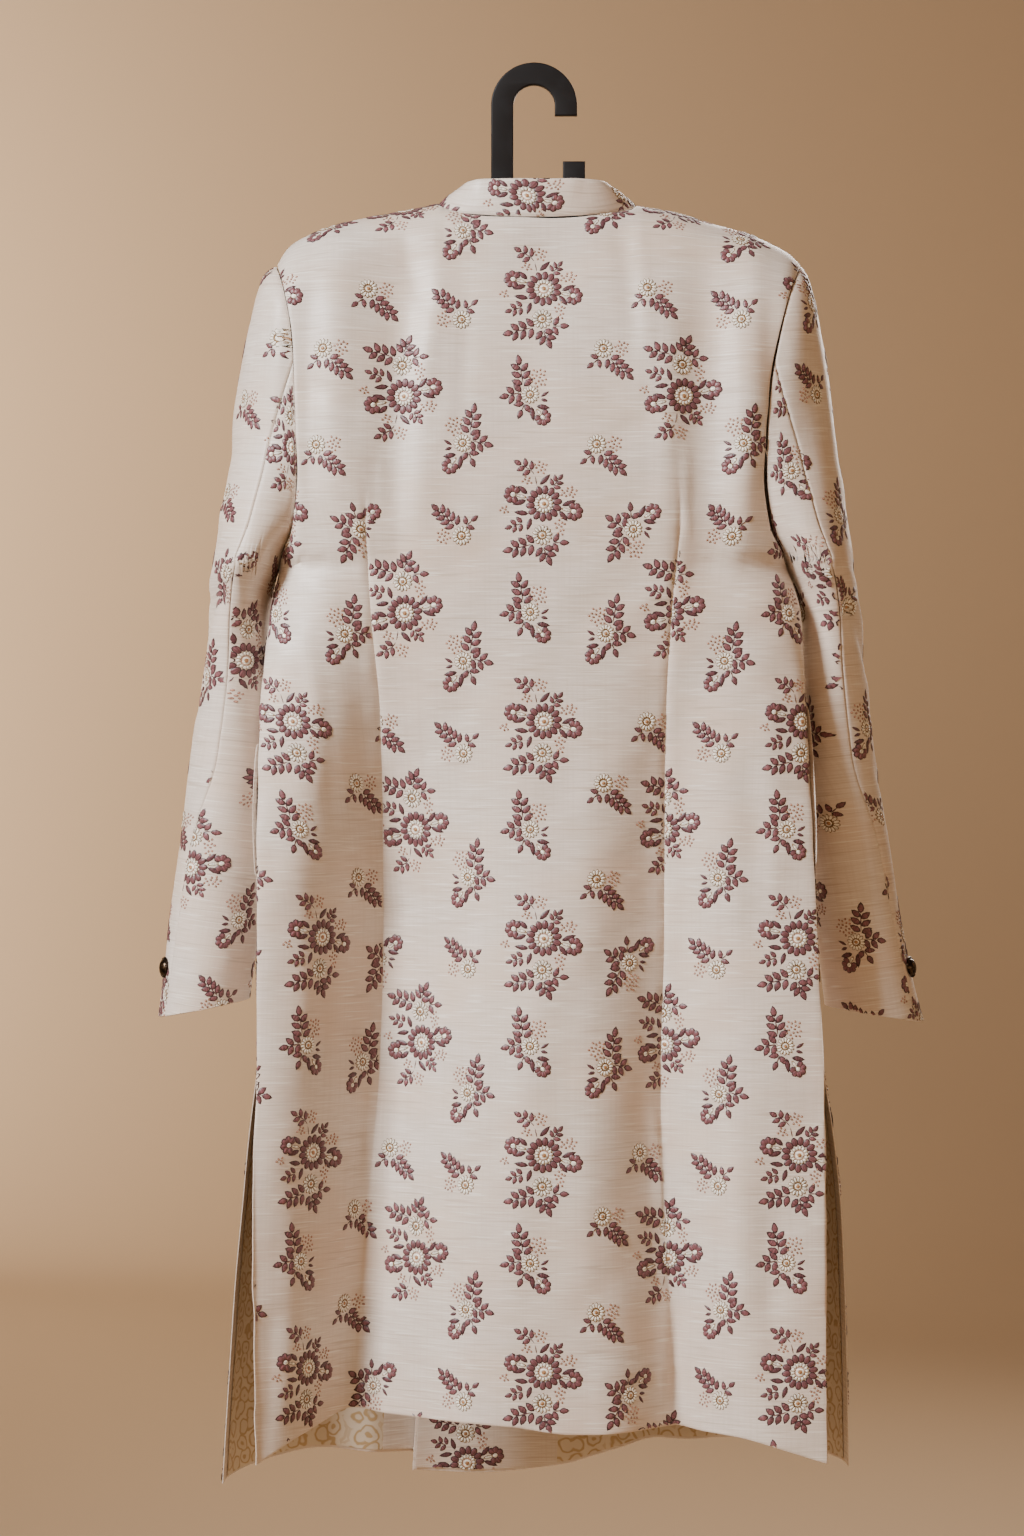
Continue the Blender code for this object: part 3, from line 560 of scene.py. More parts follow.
def edgeDistance(grid):
    # how far each point is from the grid's left, right, top and bottom edges
    across = np.linalg.norm(np.diff(grid, axis=1), axis=-1)
    down = np.linalg.norm(np.diff(grid, axis=0), axis=-1)
    left = np.concatenate([np.zeros((len(grid), 1)), np.cumsum(across, axis=1)], axis=1)
    top = np.concatenate([np.zeros((1, grid.shape[1])), np.cumsum(down, axis=0)])
    return {"left": left, "right": left[:, -1:] - left, "top": top, "bottom": top[-1:] - top}


def seamRoll(grid, distances, seams, depth=0.35, reach=2.2):
    # cloth rolls under into a seam, so a seam shows as a fine groove
    fall = np.zeros(grid.shape[:2])
    for edge, untilZ in seams.items():
        roll = np.exp(-(distances[edge] / reach) ** 2)
        fall = np.maximum(fall, roll * (grid[..., 2] > untilZ))
    return fall * depth


class Cloth:
    # one panel: its outer grid in mm, the outward normals, and its place on the flat cloth

    def __init__(self, grid, uv):
        self.grid = grid
        self.uv = uv
        self.normals = outward(grid)

    def move(self, heights):
        self.grid = self.grid + self.normals * heights[..., None]
        self.normals = outward(self.grid)

    def flatSize(self):
        # the cut's width, length and area in metres
        cornerward = self.grid[1:, 1:] - self.grid[:-1, :-1]
        crossward = self.grid[1:, :-1] - self.grid[:-1, 1:]
        area = np.linalg.norm(np.cross(cornerward, crossward), axis=-1).sum() / 2 * mm * mm
        width, length = np.ptp(self.uv.reshape(-1, 2), axis=0) * mm
        return width, length, area


def newObject(name, mesh):
    piece = bpy.data.objects.new(name, mesh)
    bpy.context.scene.collection.objects.link(piece)
    return piece


def gridFaces(rows, columns, offset, flip):
    corner = np.arange(rows * columns).reshape(rows, columns) + offset
    faces = np.stack([corner[:-1, :-1], corner[1:, :-1], corner[1:, 1:], corner[:-1, 1:]], axis=-1)
    faces = faces.reshape(-1, 4)
    return faces[:, ::-1] if flip else faces


flatOrigin = np.array([400.0, 1400.0])      # keeps every place on the flat cloth positive


def layFlat(mesh, uv):
    layer = mesh.uv_layers.new(name="flatCloth")
    layer.data.foreach_set("uv", ((uv + flatOrigin) * mm).ravel())


def wall(name, cloth, thickness, outside, inside=None, shift=None):
    # a closed wall with soft edges; shift widens the flat cloth beside each dart
    edgeSoftness = 0.3
    rows, columns = cloth.grid.shape[:2]
    border = np.zeros((rows, columns))
    border[0] = border[-1] = 1
    border[:, 0] = border[:, -1] = 1
    lift = cloth.normals * (border * thickness * edgeSoftness)[..., None]
    outer = cloth.grid - lift
    inner = cloth.grid - cloth.normals * thickness + lift
    points = np.concatenate([outer.reshape(-1, 3), inner.reshape(-1, 3)]) * mm
    count = rows * columns
    corner = np.arange(count).reshape(rows, columns)
    ring = np.concatenate([corner[0], corner[1:, -1], corner[-1, -2::-1], corner[-2:0:-1, 0]])
    after = np.roll(ring, -1)
    rim = np.stack([ring, after, after + count, ring + count], axis=-1)
    faces = np.concatenate([
        gridFaces(rows, columns, 0, False),
        gridFaces(rows, columns, count, True),
        rim,
    ])
    mesh = bpy.data.meshes.new(name)
    mesh.from_pydata(points.tolist(), [], faces.tolist())
    uv = np.concatenate([cloth.uv.reshape(-1, 2), cloth.uv.reshape(-1, 2)])[faces.ravel()]
    if shift is not None:
        wide = np.zeros(len(faces) * 4)
        perFace = shift.reshape(-1, 4)
        wide[:perFace.size] = perFace.ravel()
        wide[perFace.size:2 * perFace.size] = perFace[:, ::-1].ravel()
        uv[:, 0] += wide
    layFlat(mesh, uv)
    mesh.materials.append(outside)
    if inside is not None:
        mesh.materials.append(inside)
        index = np.zeros(len(faces), int)
        panel = (rows - 1) * (columns - 1)
        index[panel:2 * panel] = 1
        mesh.polygons.foreach_set("material_index", index)
    mesh.shade_smooth()
    mesh.set_sharp_from_angle(angle=math.radians(50))
    mesh.validate()
    return newObject(name, mesh)


def dartShift(cloth, shares):
    # beyond each dart line the flat cloth starts further out, by what the dart takes up
    z = cloth.grid[..., 2]
    taken = readTable(dartIntake, "taken", z)
    middle = (shares[:-1] + shares[1:]) / 2
    side = np.where(middle > form["dartShare"], 1.0, np.where(middle < -form["dartShare"], -1.0, 0.0))
    corners = np.stack([taken[:-1, :-1], taken[1:, :-1], taken[1:, 1:], taken[:-1, 1:]], axis=-1)
    return corners * side[None, :, None]


def clothSurface(name, cloth, shift=None):
    # only the outer face, with its normals, for the design to be laid on
    rows, columns = cloth.grid.shape[:2]
    faces = gridFaces(rows, columns, 0, False)
    mesh = bpy.data.meshes.new(name)
    mesh.from_pydata((cloth.grid.reshape(-1, 3) * mm).tolist(), [], faces.tolist())
    uv = cloth.uv.reshape(-1, 2)[faces.ravel()]
    if shift is not None:
        uv[:, 0] += shift.reshape(-1)
    layFlat(mesh, uv)
    way = mesh.attributes.new("way", "FLOAT_VECTOR", "POINT")
    way.data.foreach_set("vector", cloth.normals.reshape(-1))
    return newObject(name, mesh)


def addNode(tree, kind, inputs=None, **settings):
    node = tree.nodes.new(kind)
    for name, value in settings.items():
        setattr(node, name, value)
    for key, value in (inputs or {}).items():
        if isinstance(value, bpy.types.NodeSocket):
            tree.links.new(value, node.inputs[key])
        else:
            node.inputs[key].default_value = value
    return node


def colour(code):
    # an sRGB hex colour as linear light
    parts = [int(code[i:i + 2], 16) / 255 for i in (1, 3, 5)]
    linear = [p / 12.92 if p <= 0.04045 else ((p + 0.055) / 1.055) ** 2.4 for p in parts]
    return (*linear, 1.0)


def newMaterial(name, **constants):
    material = bpy.data.materials.new(name)
    material.use_nodes = True
    shader = material.node_tree.nodes["Principled BSDF"]
    for key, value in constants.items():
        shader.inputs[key.replace("_", " ")].default_value = value
    return material, material.node_tree, shader


def perMetre(millimetres):
    # a texture's scale for features this far apart, on coordinates in metres
    return 1000.0 / millimetres


def tint(tree, base, pattern, low, high, amount, code):
    # another colour blended in where a pattern is strong
    share = addNode(tree, "ShaderNodeMapRange", {0: pattern, 1: low, 2: high, 3: 0.0, 4: amount})
    return addNode(tree, "ShaderNodeMix", {0: share.outputs[0], 6: base, 7: colour(code)},
                   data_type="RGBA").outputs[2]


def finish(tree, shader, base, gloss, relief, strength, depth):
    # a surface's colour, its roughness where a pattern is weak and strong, and its relief
    tree.links.new(base, shader.inputs["Base Color"])
    if gloss:
        pattern, low, high, weak, strong = gloss
        rough = addNode(tree, "ShaderNodeMapRange", {0: pattern, 1: low, 2: high, 3: weak, 4: strong})
        tree.links.new(rough.outputs[0], shader.inputs["Roughness"])
    bump = addNode(tree, "ShaderNodeBump", {"Strength": strength, "Distance": depth, "Height": relief})
    tree.links.new(bump.outputs[0], shader.inputs["Normal"])


# raw silk (dupion): a pale ivory-pink weave with fine ribs and a few long slubs across
rawSilkLook = {
    "colour": "#e6dcd3",
    "ribShade": "#d8ccc1",
    "slubDark": "#c3b2a3",
    "slubPale": "#f3ece3",
    "blush": "#e2c9b4",
    "slubLong": 60.0,           # mm, along the weft
    "slubHigh": 2.0,            # mm, drawn coarser than real so that it shows
    "ribLong": 30.0,
    "ribHigh": 1.4,
    "warpApart": 2.2,
    "bump": 0.3,
    "roughness": 0.44,
}


def rawSilk(name, look):
    material, tree, shader = newMaterial(
        name, IOR=1.5, Sheen_Weight=0.2, Sheen_Roughness=0.35, Specular_IOR_Level=0.5)
    place = addNode(tree, "ShaderNodeUVMap", uv_map="flatCloth").outputs[0]

    def streaks(long, high, detail, seed):
        scale = (perMetre(long), perMetre(high), 1)
        spread = addNode(tree, "ShaderNodeMapping", {0: place, 1: (seed, seed, 0), 3: scale})
        noise = {"Vector": spread.outputs[0], "Scale": 1.0, "Detail": detail, "Roughness": 0.55}
        return addNode(tree, "ShaderNodeTexNoise", noise).outputs[0]

    ribs = streaks(look["ribLong"], look["ribHigh"], 2.0, 11.0)
    slubs = streaks(look["slubLong"], look["slubHigh"], 0.0, 3.0)
    knots = streaks(look["slubLong"] * 0.6, look["slubHigh"] * 0.8, 0.0, 27.0)
    warp = streaks(look["warpApart"], 150.0, 1.0, 7.0)
    clouds = streaks(120.0, 80.0, 2.0, 5.0)
    base = tint(tree, colour(look["colour"]), ribs, 0.42, 0.62, 0.85, look["ribShade"])
    base = tint(tree, base, warp, 0.48, 0.66, 0.4, look["ribShade"])
    base = tint(tree, base, clouds, 0.42, 0.66, 0.45, look["blush"])
    base = tint(tree, base, slubs, 0.66, 0.76, 0.55, look["slubDark"])
    base = tint(tree, base, knots, 0.66, 0.74, 0.8, look["slubPale"])
    relief = addNode(tree, "ShaderNodeMix", {0: 0.5, 2: ribs, 3: slubs}, data_type="FLOAT").outputs[0]
    gloss = (ribs, 0.3, 0.7, look["roughness"] - 0.05, look["roughness"] + 0.06)
    finish(tree, shader, base, gloss, relief, look["bump"], 0.0006)
    return material


# rayon embroidery thread laid in satin stitch: glossy, with fine parallel ridges, and painted shade and
# painted highlight along them
threadLook = {
    "stitchApart": 1.3,         # mm between ridges, coarser than real so that it shows
    "stitchLong": 7.0,
    "roughness": 0.42,
}


def embroideryThread(look):
    material, tree, shader = newMaterial(
        "embroideryThread", IOR=1.5, Roughness=look["roughness"], Sheen_Weight=0.12)
    thread = addNode(tree, "ShaderNodeAttribute", attribute_name="thread").outputs[0]
    lay = addNode(tree, "ShaderNodeUVMap", uv_map="stitchLay").outputs[0]
    scale = (perMetre(look["stitchApart"]), perMetre(look["stitchLong"]), 1)
    spread = addNode(tree, "ShaderNodeMapping", {0: lay, 3: scale}).outputs[0]
    ridges = addNode(tree, "ShaderNodeTexNoise", {"Vector": spread, "Scale": 1.0, "Detail": 1.0}).outputs[0]
    # painted shade and painted highlight: the thread colour is darkened between the stitch ridges and
    # lightened on them
    shade = addNode(tree, "ShaderNodeMapRange", {0: ridges, 1: 0.32, 2: 0.68, 3: 0.5, 4: 1.32}).outputs[0]
    tone = addNode(tree, "ShaderNodeMix", {0: 1.0, 6: thread, 7: shade},
                   data_type="RGBA", blend_type="MULTIPLY").outputs[2]
    finish(tree, shader, tone, None, ridges, 0.7, 0.0005)
    return material


# jacquard brocade lining: silver-beige ground with old-gold figures in satin weave
brocadeLook = {
    "ground": "#dccfbb",
    "figure": "#b69765",
    "edge": "#e6dbc8",
    "figureSize": 15.0,         # mm from one paisley to the next
}


def brocade(look):
    material, tree, shader = newMaterial("brocadeLining", IOR=1.5, Sheen_Weight=0.1)
    place = addNode(tree, "ShaderNodeUVMap", uv_map="flatCloth").outputs[0]
    swirl = addNode(tree, "ShaderNodeTexNoise", {
        "Vector": place, "Scale": perMetre(look["figureSize"]), "Detail": 2.0}).outputs[1]
    bent = addNode(tree, "ShaderNodeMix", {0: 0.01, 6: place, 7: swirl}, data_type="RGBA").outputs[2]
    cells = addNode(tree, "ShaderNodeTexVoronoi", {
        "Vector": bent, "Scale": perMetre(look["figureSize"]), "Randomness": 0.75}).outputs[0]
    rings = addNode(tree, "ShaderNodeMath", {0: cells, 1: 17.0}, operation="MULTIPLY").outputs[0]
    rings = addNode(tree, "ShaderNodeMath", {0: rings}, operation="SINE").outputs[0]
    figure = addNode(tree, "ShaderNodeMapRange", {0: rings, 1: 0.1, 2: 0.8, 3: 0.0, 4: 0.8}).outputs[0]
    base = addNode(tree, "ShaderNodeMix", {
        0: figure, 6: colour(look["ground"]), 7: colour(look["figure"])}, data_type="RGBA").outputs[2]
    base = tint(tree, base, cells, 0.5, 0.62, 0.5, look["edge"])
    finish(tree, shader, base, (figure, 0.0, 1.0, 0.6, 0.38), figure, 0.3, 0.0004)
    return material


# cast zinc with a black antique wash that is rubbed off the high spots
antiqueLook = {"wash": "#241d19", "metal": "#7d6a58", "grain": 2.2}


def antiqueMetal(look):
    material, tree, shader = newMaterial("antiqueMetal", Metallic=1.0)
    place = addNode(tree, "ShaderNodeTexCoord").outputs["Object"]
    noise = addNode(tree, "ShaderNodeTexNoise", {
        "Vector": place, "Scale": perMetre(look["grain"]), "Detail": 3.0}).outputs[0]
    base = tint(tree, colour(look["wash"]), noise, 0.45, 0.7, 0.8, look["metal"])
    finish(tree, shader, base, (noise, 0.3, 0.7, 0.42, 0.26), noise, 0.25, 0.0004)
    return material


# injection moulded polypropylene, semi matte from a spark-eroded mould
plasticLook = {"colour": "#141417", "worn": "#242428", "grain": 1.1}


def mouldedPlastic(look):
    material, tree, shader = newMaterial("mouldedPlastic", IOR=1.49, Specular_IOR_Level=0.3)
    place = addNode(tree, "ShaderNodeTexCoord").outputs["Object"]
    noise = addNode(tree, "ShaderNodeTexNoise", {
        "Vector": place, "Scale": perMetre(look["grain"]), "Detail": 2.0}).outputs[0]
    scuffs = addNode(tree, "ShaderNodeTexNoise", {
        "Vector": place, "Scale": perMetre(30.0), "Detail": 4.0}).outputs[0]
    base = tint(tree, colour(look["colour"]), scuffs, 0.52, 0.75, 0.5, look["worn"])
    finish(tree, shader, base, (scuffs, 0.3, 0.7, 0.42, 0.6), noise, 0.12, 0.0003)
    return material


silk = rawSilk("rawSilk", rawSilkLook)
thread = embroideryThread(threadLook)
lining = brocade(brocadeLook)
metal = antiqueMetal(antiqueLook)
plastic = mouldedPlastic(plasticLook)
print("materials made")


# embroidery threads, and how each flower and leaf of the design is stitched with them
threads = {
    "mauve": "#7f5157",
    "mauveDeep": "#3f2228",
    "leaf": "#643d44",
    "ivory": "#fbf6ea",
    "gold": "#7d5f38",
    "rose": "#c39682",
    "roseDeep": "#8a5f50",
    "core": "#b98a62",
}

# the motifs are drawn flat in mm from their centres, x right and y up:
# each stroke has a kind, a start, an end or half widths, and a size or a count
motifStrokes = {
    "bouquet": (
        ("ringFlower", 0, 0, 0, 0, 14.4),
        ("daisy", -1.5, -27.5, 0, 0, 9.3),
        ("cup", -14, 5, -27, 8, 7.2),
        ("leaf", -14, 8, -23, 16, 5.4),
        ("leaf", -15, 3, -28, -1, 5.6),
        ("cup", 14, -4, 26, -7, 7.2),
        ("leaf", 15, -2, 29, 3, 5.2),
        ("leaf", 13, -6, 21, -16, 5.4),
        ("leaf", -4, 16, 6, 26, 5.4),
        ("leaf", -13, -9, -27, -7, 5.4),
        ("leaf", -11, -12, -15, -24, 5.2),
        ("stem", -6, 15, -8, 25, 1.0),
        ("stem", -8, 25, -13, 31, 1.0),
        ("frond", -11, 29, -27, 38, 7.2),
        ("frond", 8, 15, 17, 26, 6.0),
        ("frond", -19, -17, -35, -22, 6.4),
        ("frond", -9, -35, -37, -42, 8.8),
        ("frond", -1, -38, 7, -55, 8.6),
        ("frond", 8, -34, 23, -34, 8.0),
        ("dots", -3, 32, 6, 6, 11),
        ("dots", -15, 20, 5, 4, 7),
        ("dots", 22, 10, 8, 5, 13),
        ("dots", -35, -5, 4, 4, 6),
        ("dots", 14, -20, 5, 8, 12),
    ),
    "posy": (
        ("daisy", 0, 0, 0, 0, 8.4),
        ("frond", -6, 8, -11, 36, 8.8),
        ("frond", -8, 2, -28, -3, 8.4),
        ("frond", -5, -8, -11, -22, 8.0),
        ("leaf", 1, -10, 3, -24, 5.4),
        ("leaf", 5, -10, 18, -12, 5.4),
        ("cup", 5, -12, 11, -20, 6.6),
        ("leaf", 9, -2, 17, 3, 3.2),
        ("leaf", 9, -4, 16, -6, 3.4),
        ("dots", 7, 15, 8, 9, 19),
    ),
    "sprig": (
        ("daisy", 0, 0, 0, 0, 8.9),
        ("frond", -5, 9, -27, 28, 8.0),
        ("frond", 4, 9, 15, 18, 7.0),
        ("dots", -16, 0, 6, 8, 14),
    ),
}

# the drawings that the cloth uses: a name, and whether it is mirrored across and flipped over
motifTurns = (
    ("bouquet", 1, 1),
    ("bouquet", 1, -1),
    ("posy", 1, 1),
    ("posy", -1, 1),
    ("posy", 1, -1),
    ("sprig", 1, 1),
)

# the design's repeat in mm: drawing, place across, place up, turn in degrees
repeatSize = {"across": 245.0, "down": 189.9}
repeatPlaces = (
    (0, 0, 0, 0),
    (1, 122.5, -95, 0),
    (2, -12, -94.5, 0),
    (3, -71, -137, 0),
    (5, -72, -28, 0),
)
# a wider column whose drawings come again only every second repeat
mixedPlaces = (
    (5, 91, 0, 180),
    (5, 52, -54, 180),
    (5, 46, -138, 180),
    (4, 78, -212, -20),
    (3, 54, -303, 0),
)


stitchHeight = 0.68         # how far the padded stitches stand up, as a share of their full height


class Drawing:
    # stitched patches, each with a sloping rim in one thread and a domed middle in another

    def __init__(self):
        self.points = []
        self.faces = []
        self.colours = []
        self.lays = []          # where each point lies along and across its stitches
        self.patches = 0        # counted, because each one is a little paler or darker

    def patch(self, outline, height, rim, fill, inset=0.62, axis=(1.0, 0.0)):
        outline = np.array(outline, float)
        following = np.roll(outline, -1, axis=0)
        if (outline[:, 0] * following[:, 1] - outline[:, 1] * following[:, 0]).sum() < 0:
            outline = outline[::-1]
        middle = outline.mean(axis=0)
        inside = middle + (outline - middle) * inset
        flat = np.concatenate([outline, inside, middle[None]])
        count, first = len(outline), len(self.points)
        rise = [-0.2] * count + [height * 0.85] * count + [height]
        self.points += [(x, y, z * stitchHeight) for (x, y), z in zip(flat, rise)]
        self.lays += [(p @ axis, p @ (-axis[1], axis[0])) for p in flat]
        self.patches += 1
        shade = 0.9 + 0.2 * (self.patches * 0.618 % 1)
        for k in range(count):
            after = (k + 1) % count
            ring = (first + k, first + after, first + count + after, first + count + k)
            self.faces += [ring, (first + count + k, first + count + after, first + 2 * count)]
            self.colours += [(rim, shade), (fill, shade)]

    def leaf(self, start, end, width, rim="mauveDeep", fill="leaf", height=0.9, inset=0.6):
        start, end = np.array(start, float), np.array(end, float)
        run = end - start
        length = max(np.linalg.norm(run), 1e-6)
        side = np.array([-run[1], run[0]]) / length * width / 2
        bulges = ((0.16, 0.66), (0.44, 1.0), (0.78, 0.62))
        outline = [start] + [start + run * t + side * w for t, w in bulges]
        outline += [end] + [start + run * t - side * w for t, w in bulges[::-1]]
        self.patch(outline, height, rim, fill, inset, run / length)

    def oval(self, middle, angle, along, aside, height, rim, fill, inset=0.62, sides=8):
        axis = np.array([math.cos(angle), math.sin(angle)])
        across = np.array([-axis[1], axis[0]])
        outline = [middle + axis * along * math.cos(a) + across * aside * math.sin(a)
                   for a in np.linspace(0, 2 * math.pi, sides + 1)[:-1]]
        self.patch(outline, height, rim, fill, inset, across)

    def frond(self, start, end, size):
        # fat leaflets in pairs along a spine, and one at its tip
        start, end = np.array(start, float), np.array(end, float)
        run = end - start
        length = np.linalg.norm(run)
        size = size * 1.26
        pairs = max(1, round((length - 0.7 * size) / (0.62 * size)))
        reach = 1 - 0.8 * size / length
        self.leaf(start, start + run * reach, 1.2, height=0.6)
        heading = math.atan2(run[1], run[0])
        for k in range(pairs):
            share = k / pairs
            for way in (-1, 1):
                root = start + run * (share + 0.04 * way) * reach
                angle = heading + way * math.radians(60 - 16 * share)
                tip = root + size * (1.04 - 0.1 * share) * np.array([math.cos(angle), math.sin(angle)])
                self.leaf(root, tip, size * 0.6, fill="mauve", inset=0.66)
        self.leaf(end - run / length * size, end, size * 0.6, fill="mauve", inset=0.66)

    def petals(self, middle, inner, outer, count, rim, fill, height, inset=0.68):
        reach = (inner + outer) / 2
        for k in range(count):
            angle = 2 * math.pi * (k + 0.3) / count
            place = middle + reach * np.array([math.cos(angle), math.sin(angle)])
            self.oval(place, angle, (outer - inner) / 2, 1.16 * math.pi * reach / count, height, rim, fill,
                      inset, 10)

    def daisy(self, middle, radius):
        self.petals(middle, radius * 0.34, radius, 14, "gold", "ivory", 1.1, 0.7)
        self.oval(middle, 0, radius * 0.44, radius * 0.44, 1.0, "gold", "ivory", 0.7)
        self.oval(middle, 0, radius * 0.25, radius * 0.25, 1.5, "gold", "core", 0.7)

    def ringFlower(self, middle, radius):
        self.petals(middle, radius * 0.52, radius * 1.14, 14, "mauveDeep", "mauve", 1.1, 0.72)
        self.petals(middle, radius * 0.3, radius * 0.58, 14, "gold", "ivory", 1.3, 0.78)
        self.oval(middle, 0, radius * 0.32, radius * 0.32, 1.0, "rose", "ivory", 0.8, 12)
        self.oval(middle, 0, radius * 0.17, radius * 0.17, 1.5, "gold", "core", 0.75)

    def cup(self, start, end, size):
        # a half-open flower: a horseshoe of mauve petals round an ivory cup
        start, end = np.array(start, float), np.array(end, float)
        facing = math.atan2(end[1] - start[1], end[0] - start[0])
        self.leaf(start, end, size * 0.5, rim="gold", fill="ivory", height=0.6)
        self.oval(end, facing, size * 0.44, size * 0.4, 0.9, "gold", "ivory", 0.7)
        for k in range(6):
            angle = facing + math.radians(-118 + 47.2 * k)
            place = end + size * 0.7 * np.array([math.cos(angle), math.sin(angle)])
            self.oval(place, angle, size * 0.52, size * 0.48, 1.2, "mauveDeep", "mauve", 0.7)

    def dots(self, middle, wide, high, count):
        # knots spread evenly over an oval, each turned on from the last by the golden angle
        for k in range(count):
            reach, angle = math.sqrt((k + 0.5) / count), k * 2.39996
            place = middle + (wide * reach * math.cos(angle), high * reach * math.sin(angle))
            self.oval(place, angle, 1.35, 1.1, 0.9, "roseDeep", "rose", 0.6, 6)


def drawMotif(strokes, mirror, flip):
    drawing = Drawing()
    for kind, startX, startY, endX, endY, size in strokes:
        start = np.array([startX * mirror, startY * flip], float)
        end = (endX * mirror, endY * flip)
        if kind == "dots":
            drawing.dots(start, endX, endY, size)
        elif kind in ("daisy", "ringFlower"):
            getattr(drawing, kind)(start, size)
        elif kind == "stem":
            drawing.leaf(start, end, size, height=0.5)
        else:
            getattr(drawing, kind)(start, end, size)
    return drawing


def makeMotifs():
    # the drawings as small meshes in a collection, in the order of motifTurns
    folder = bpy.data.collections.new("motifs")
    linear = {name: np.array(colour(code)) for name, code in threads.items()}
    for k, (name, mirror, flip) in enumerate(motifTurns):
        drawing = drawMotif(motifStrokes[name], mirror, flip)
        mesh = bpy.data.meshes.new("motif%d" % k)
        mesh.from_pydata((np.array(drawing.points) * mm).tolist(), [], drawing.faces)
        tone = mesh.color_attributes.new("thread", "FLOAT_COLOR", "CORNER")
        perCorner = [linear[name] * shade for face, (name, shade) in zip(drawing.faces, drawing.colours)
                     for _ in face]
        tone.data.foreach_set("color", np.array(perCorner, np.float32).ravel())
        lay = mesh.uv_layers.new(name="stitchLay")
        corners = np.array([drawing.lays[point] for face in drawing.faces for point in face])
        lay.data.foreach_set("uv", (corners * mm).ravel())
        mesh.shade_smooth()
        piece = bpy.data.objects.new("motif%d" % k, mesh)
        folder.objects.link(piece)
    return folder


motifs = makeMotifs()


def newTree(name, *inputs):
    # a Geometry Nodes tree with geometry in and out, and named inputs
    tree = bpy.data.node_groups.new(name, "GeometryNodeTree")
    for label, kind in (("Geometry", "Geometry"),) + inputs:
        tree.interface.new_socket(label, in_out="INPUT", socket_type="NodeSocket" + kind)
    tree.interface.new_socket("Geometry", in_out="OUTPUT", socket_type="NodeSocketGeometry")
    return tree, addNode(tree, "NodeGroupInput").outputs


def layDesignTree():
    # stands a drawing on every point of the flat cloth, then carries it onto the hanging cloth
    tree, given = newTree(
        "layDesign", ("Cloth", "Object"), ("Motifs", "Collection"), ("Material", "Material"))
    kind = addNode(tree, "GeometryNodeInputNamedAttribute", {"Name": "kind"}, data_type="INT").outputs[0]
    turn = addNode(tree, "GeometryNodeInputNamedAttribute", {"Name": "turn"}, data_type="FLOAT").outputs[0]
    angles = addNode(tree, "ShaderNodeCombineXYZ", {"Z": turn}).outputs[0]
    rotation = addNode(tree, "FunctionNodeEulerToRotation", {0: angles}).outputs[0]
    drawings = addNode(tree, "GeometryNodeCollectionInfo", {
        0: given["Motifs"], 1: True, 2: True}).outputs[0]
    standing = addNode(tree, "GeometryNodeInstanceOnPoints", {
        "Points": given["Geometry"], "Instance": drawings, "Pick Instance": True,
        "Instance Index": kind, "Rotation": rotation}).outputs[0]
    real = addNode(tree, "GeometryNodeRealizeInstances", {0: standing}).outputs[0]
    cloth = addNode(tree, "GeometryNodeObjectInfo", {0: given["Cloth"]}).outputs["Geometry"]
    position = addNode(tree, "GeometryNodeInputPosition").outputs[0]
    parts = addNode(tree, "ShaderNodeSeparateXYZ", {0: position}).outputs
    flat = addNode(tree, "ShaderNodeCombineXYZ", {0: parts[0], 1: parts[1]}).outputs[0]
    uvMap = addNode(tree, "GeometryNodeInputNamedAttribute", {"Name": "flatCloth"},
                    data_type="FLOAT_VECTOR").outputs[0]
    way = addNode(tree, "GeometryNodeInputNamedAttribute", {"Name": "way"},
                  data_type="FLOAT_VECTOR").outputs[0]
    spot = addNode(tree, "GeometryNodeSampleUVSurface", {
        0: cloth, 1: position, 2: uvMap, 3: flat}, data_type="FLOAT_VECTOR").outputs
    out = addNode(tree, "GeometryNodeSampleUVSurface", {
        0: cloth, 1: way, 2: uvMap, 3: flat}, data_type="FLOAT_VECTOR").outputs[0]
    off = addNode(tree, "FunctionNodeBooleanMath", {0: spot[1]}, operation="NOT").outputs[0]
    kept = addNode(tree, "GeometryNodeDeleteGeometry", {0: real, 1: off}, domain="POINT").outputs[0]
    raised = addNode(tree, "ShaderNodeVectorMath", {0: out, "Scale": parts[2]}, operation="SCALE").outputs[0]
    target = addNode(tree, "ShaderNodeVectorMath", {0: spot[0], 1: raised}, operation="ADD").outputs[0]
    moved = addNode(tree, "GeometryNodeSetPosition", {"Geometry": kept, "Position": target}).outputs[0]
    done = addNode(tree, "GeometryNodeSetMaterial", {0: moved, 2: given["Material"]}).outputs[0]
    addNode(tree, "NodeGroupOutput", {0: done})
    return tree


layDesign = layDesignTree()


def discard(piece):
    mesh = piece.data
    bpy.data.objects.remove(piece)
    bpy.data.meshes.remove(mesh)


def evaluated(worker):
    bpy.context.view_layer.update()
    return bpy.data.meshes.new_from_object(worker.evaluated_get(bpy.context.evaluated_depsgraph_get()))


def runTree(worker, tree, inputs, name):
    # the tree's result on a worker, as a plain mesh in a new piece
    modifier = worker.modifiers.new(tree.name, "NODES")
    modifier.node_group = tree
    for socket in tree.interface.items_tree:
        if socket.in_out == "INPUT" and socket.name in inputs:
            modifier[socket.identifier] = inputs[socket.name]
    mesh = evaluated(worker)
    mesh.name = name
    discard(worker)
    return newObject(name, mesh)


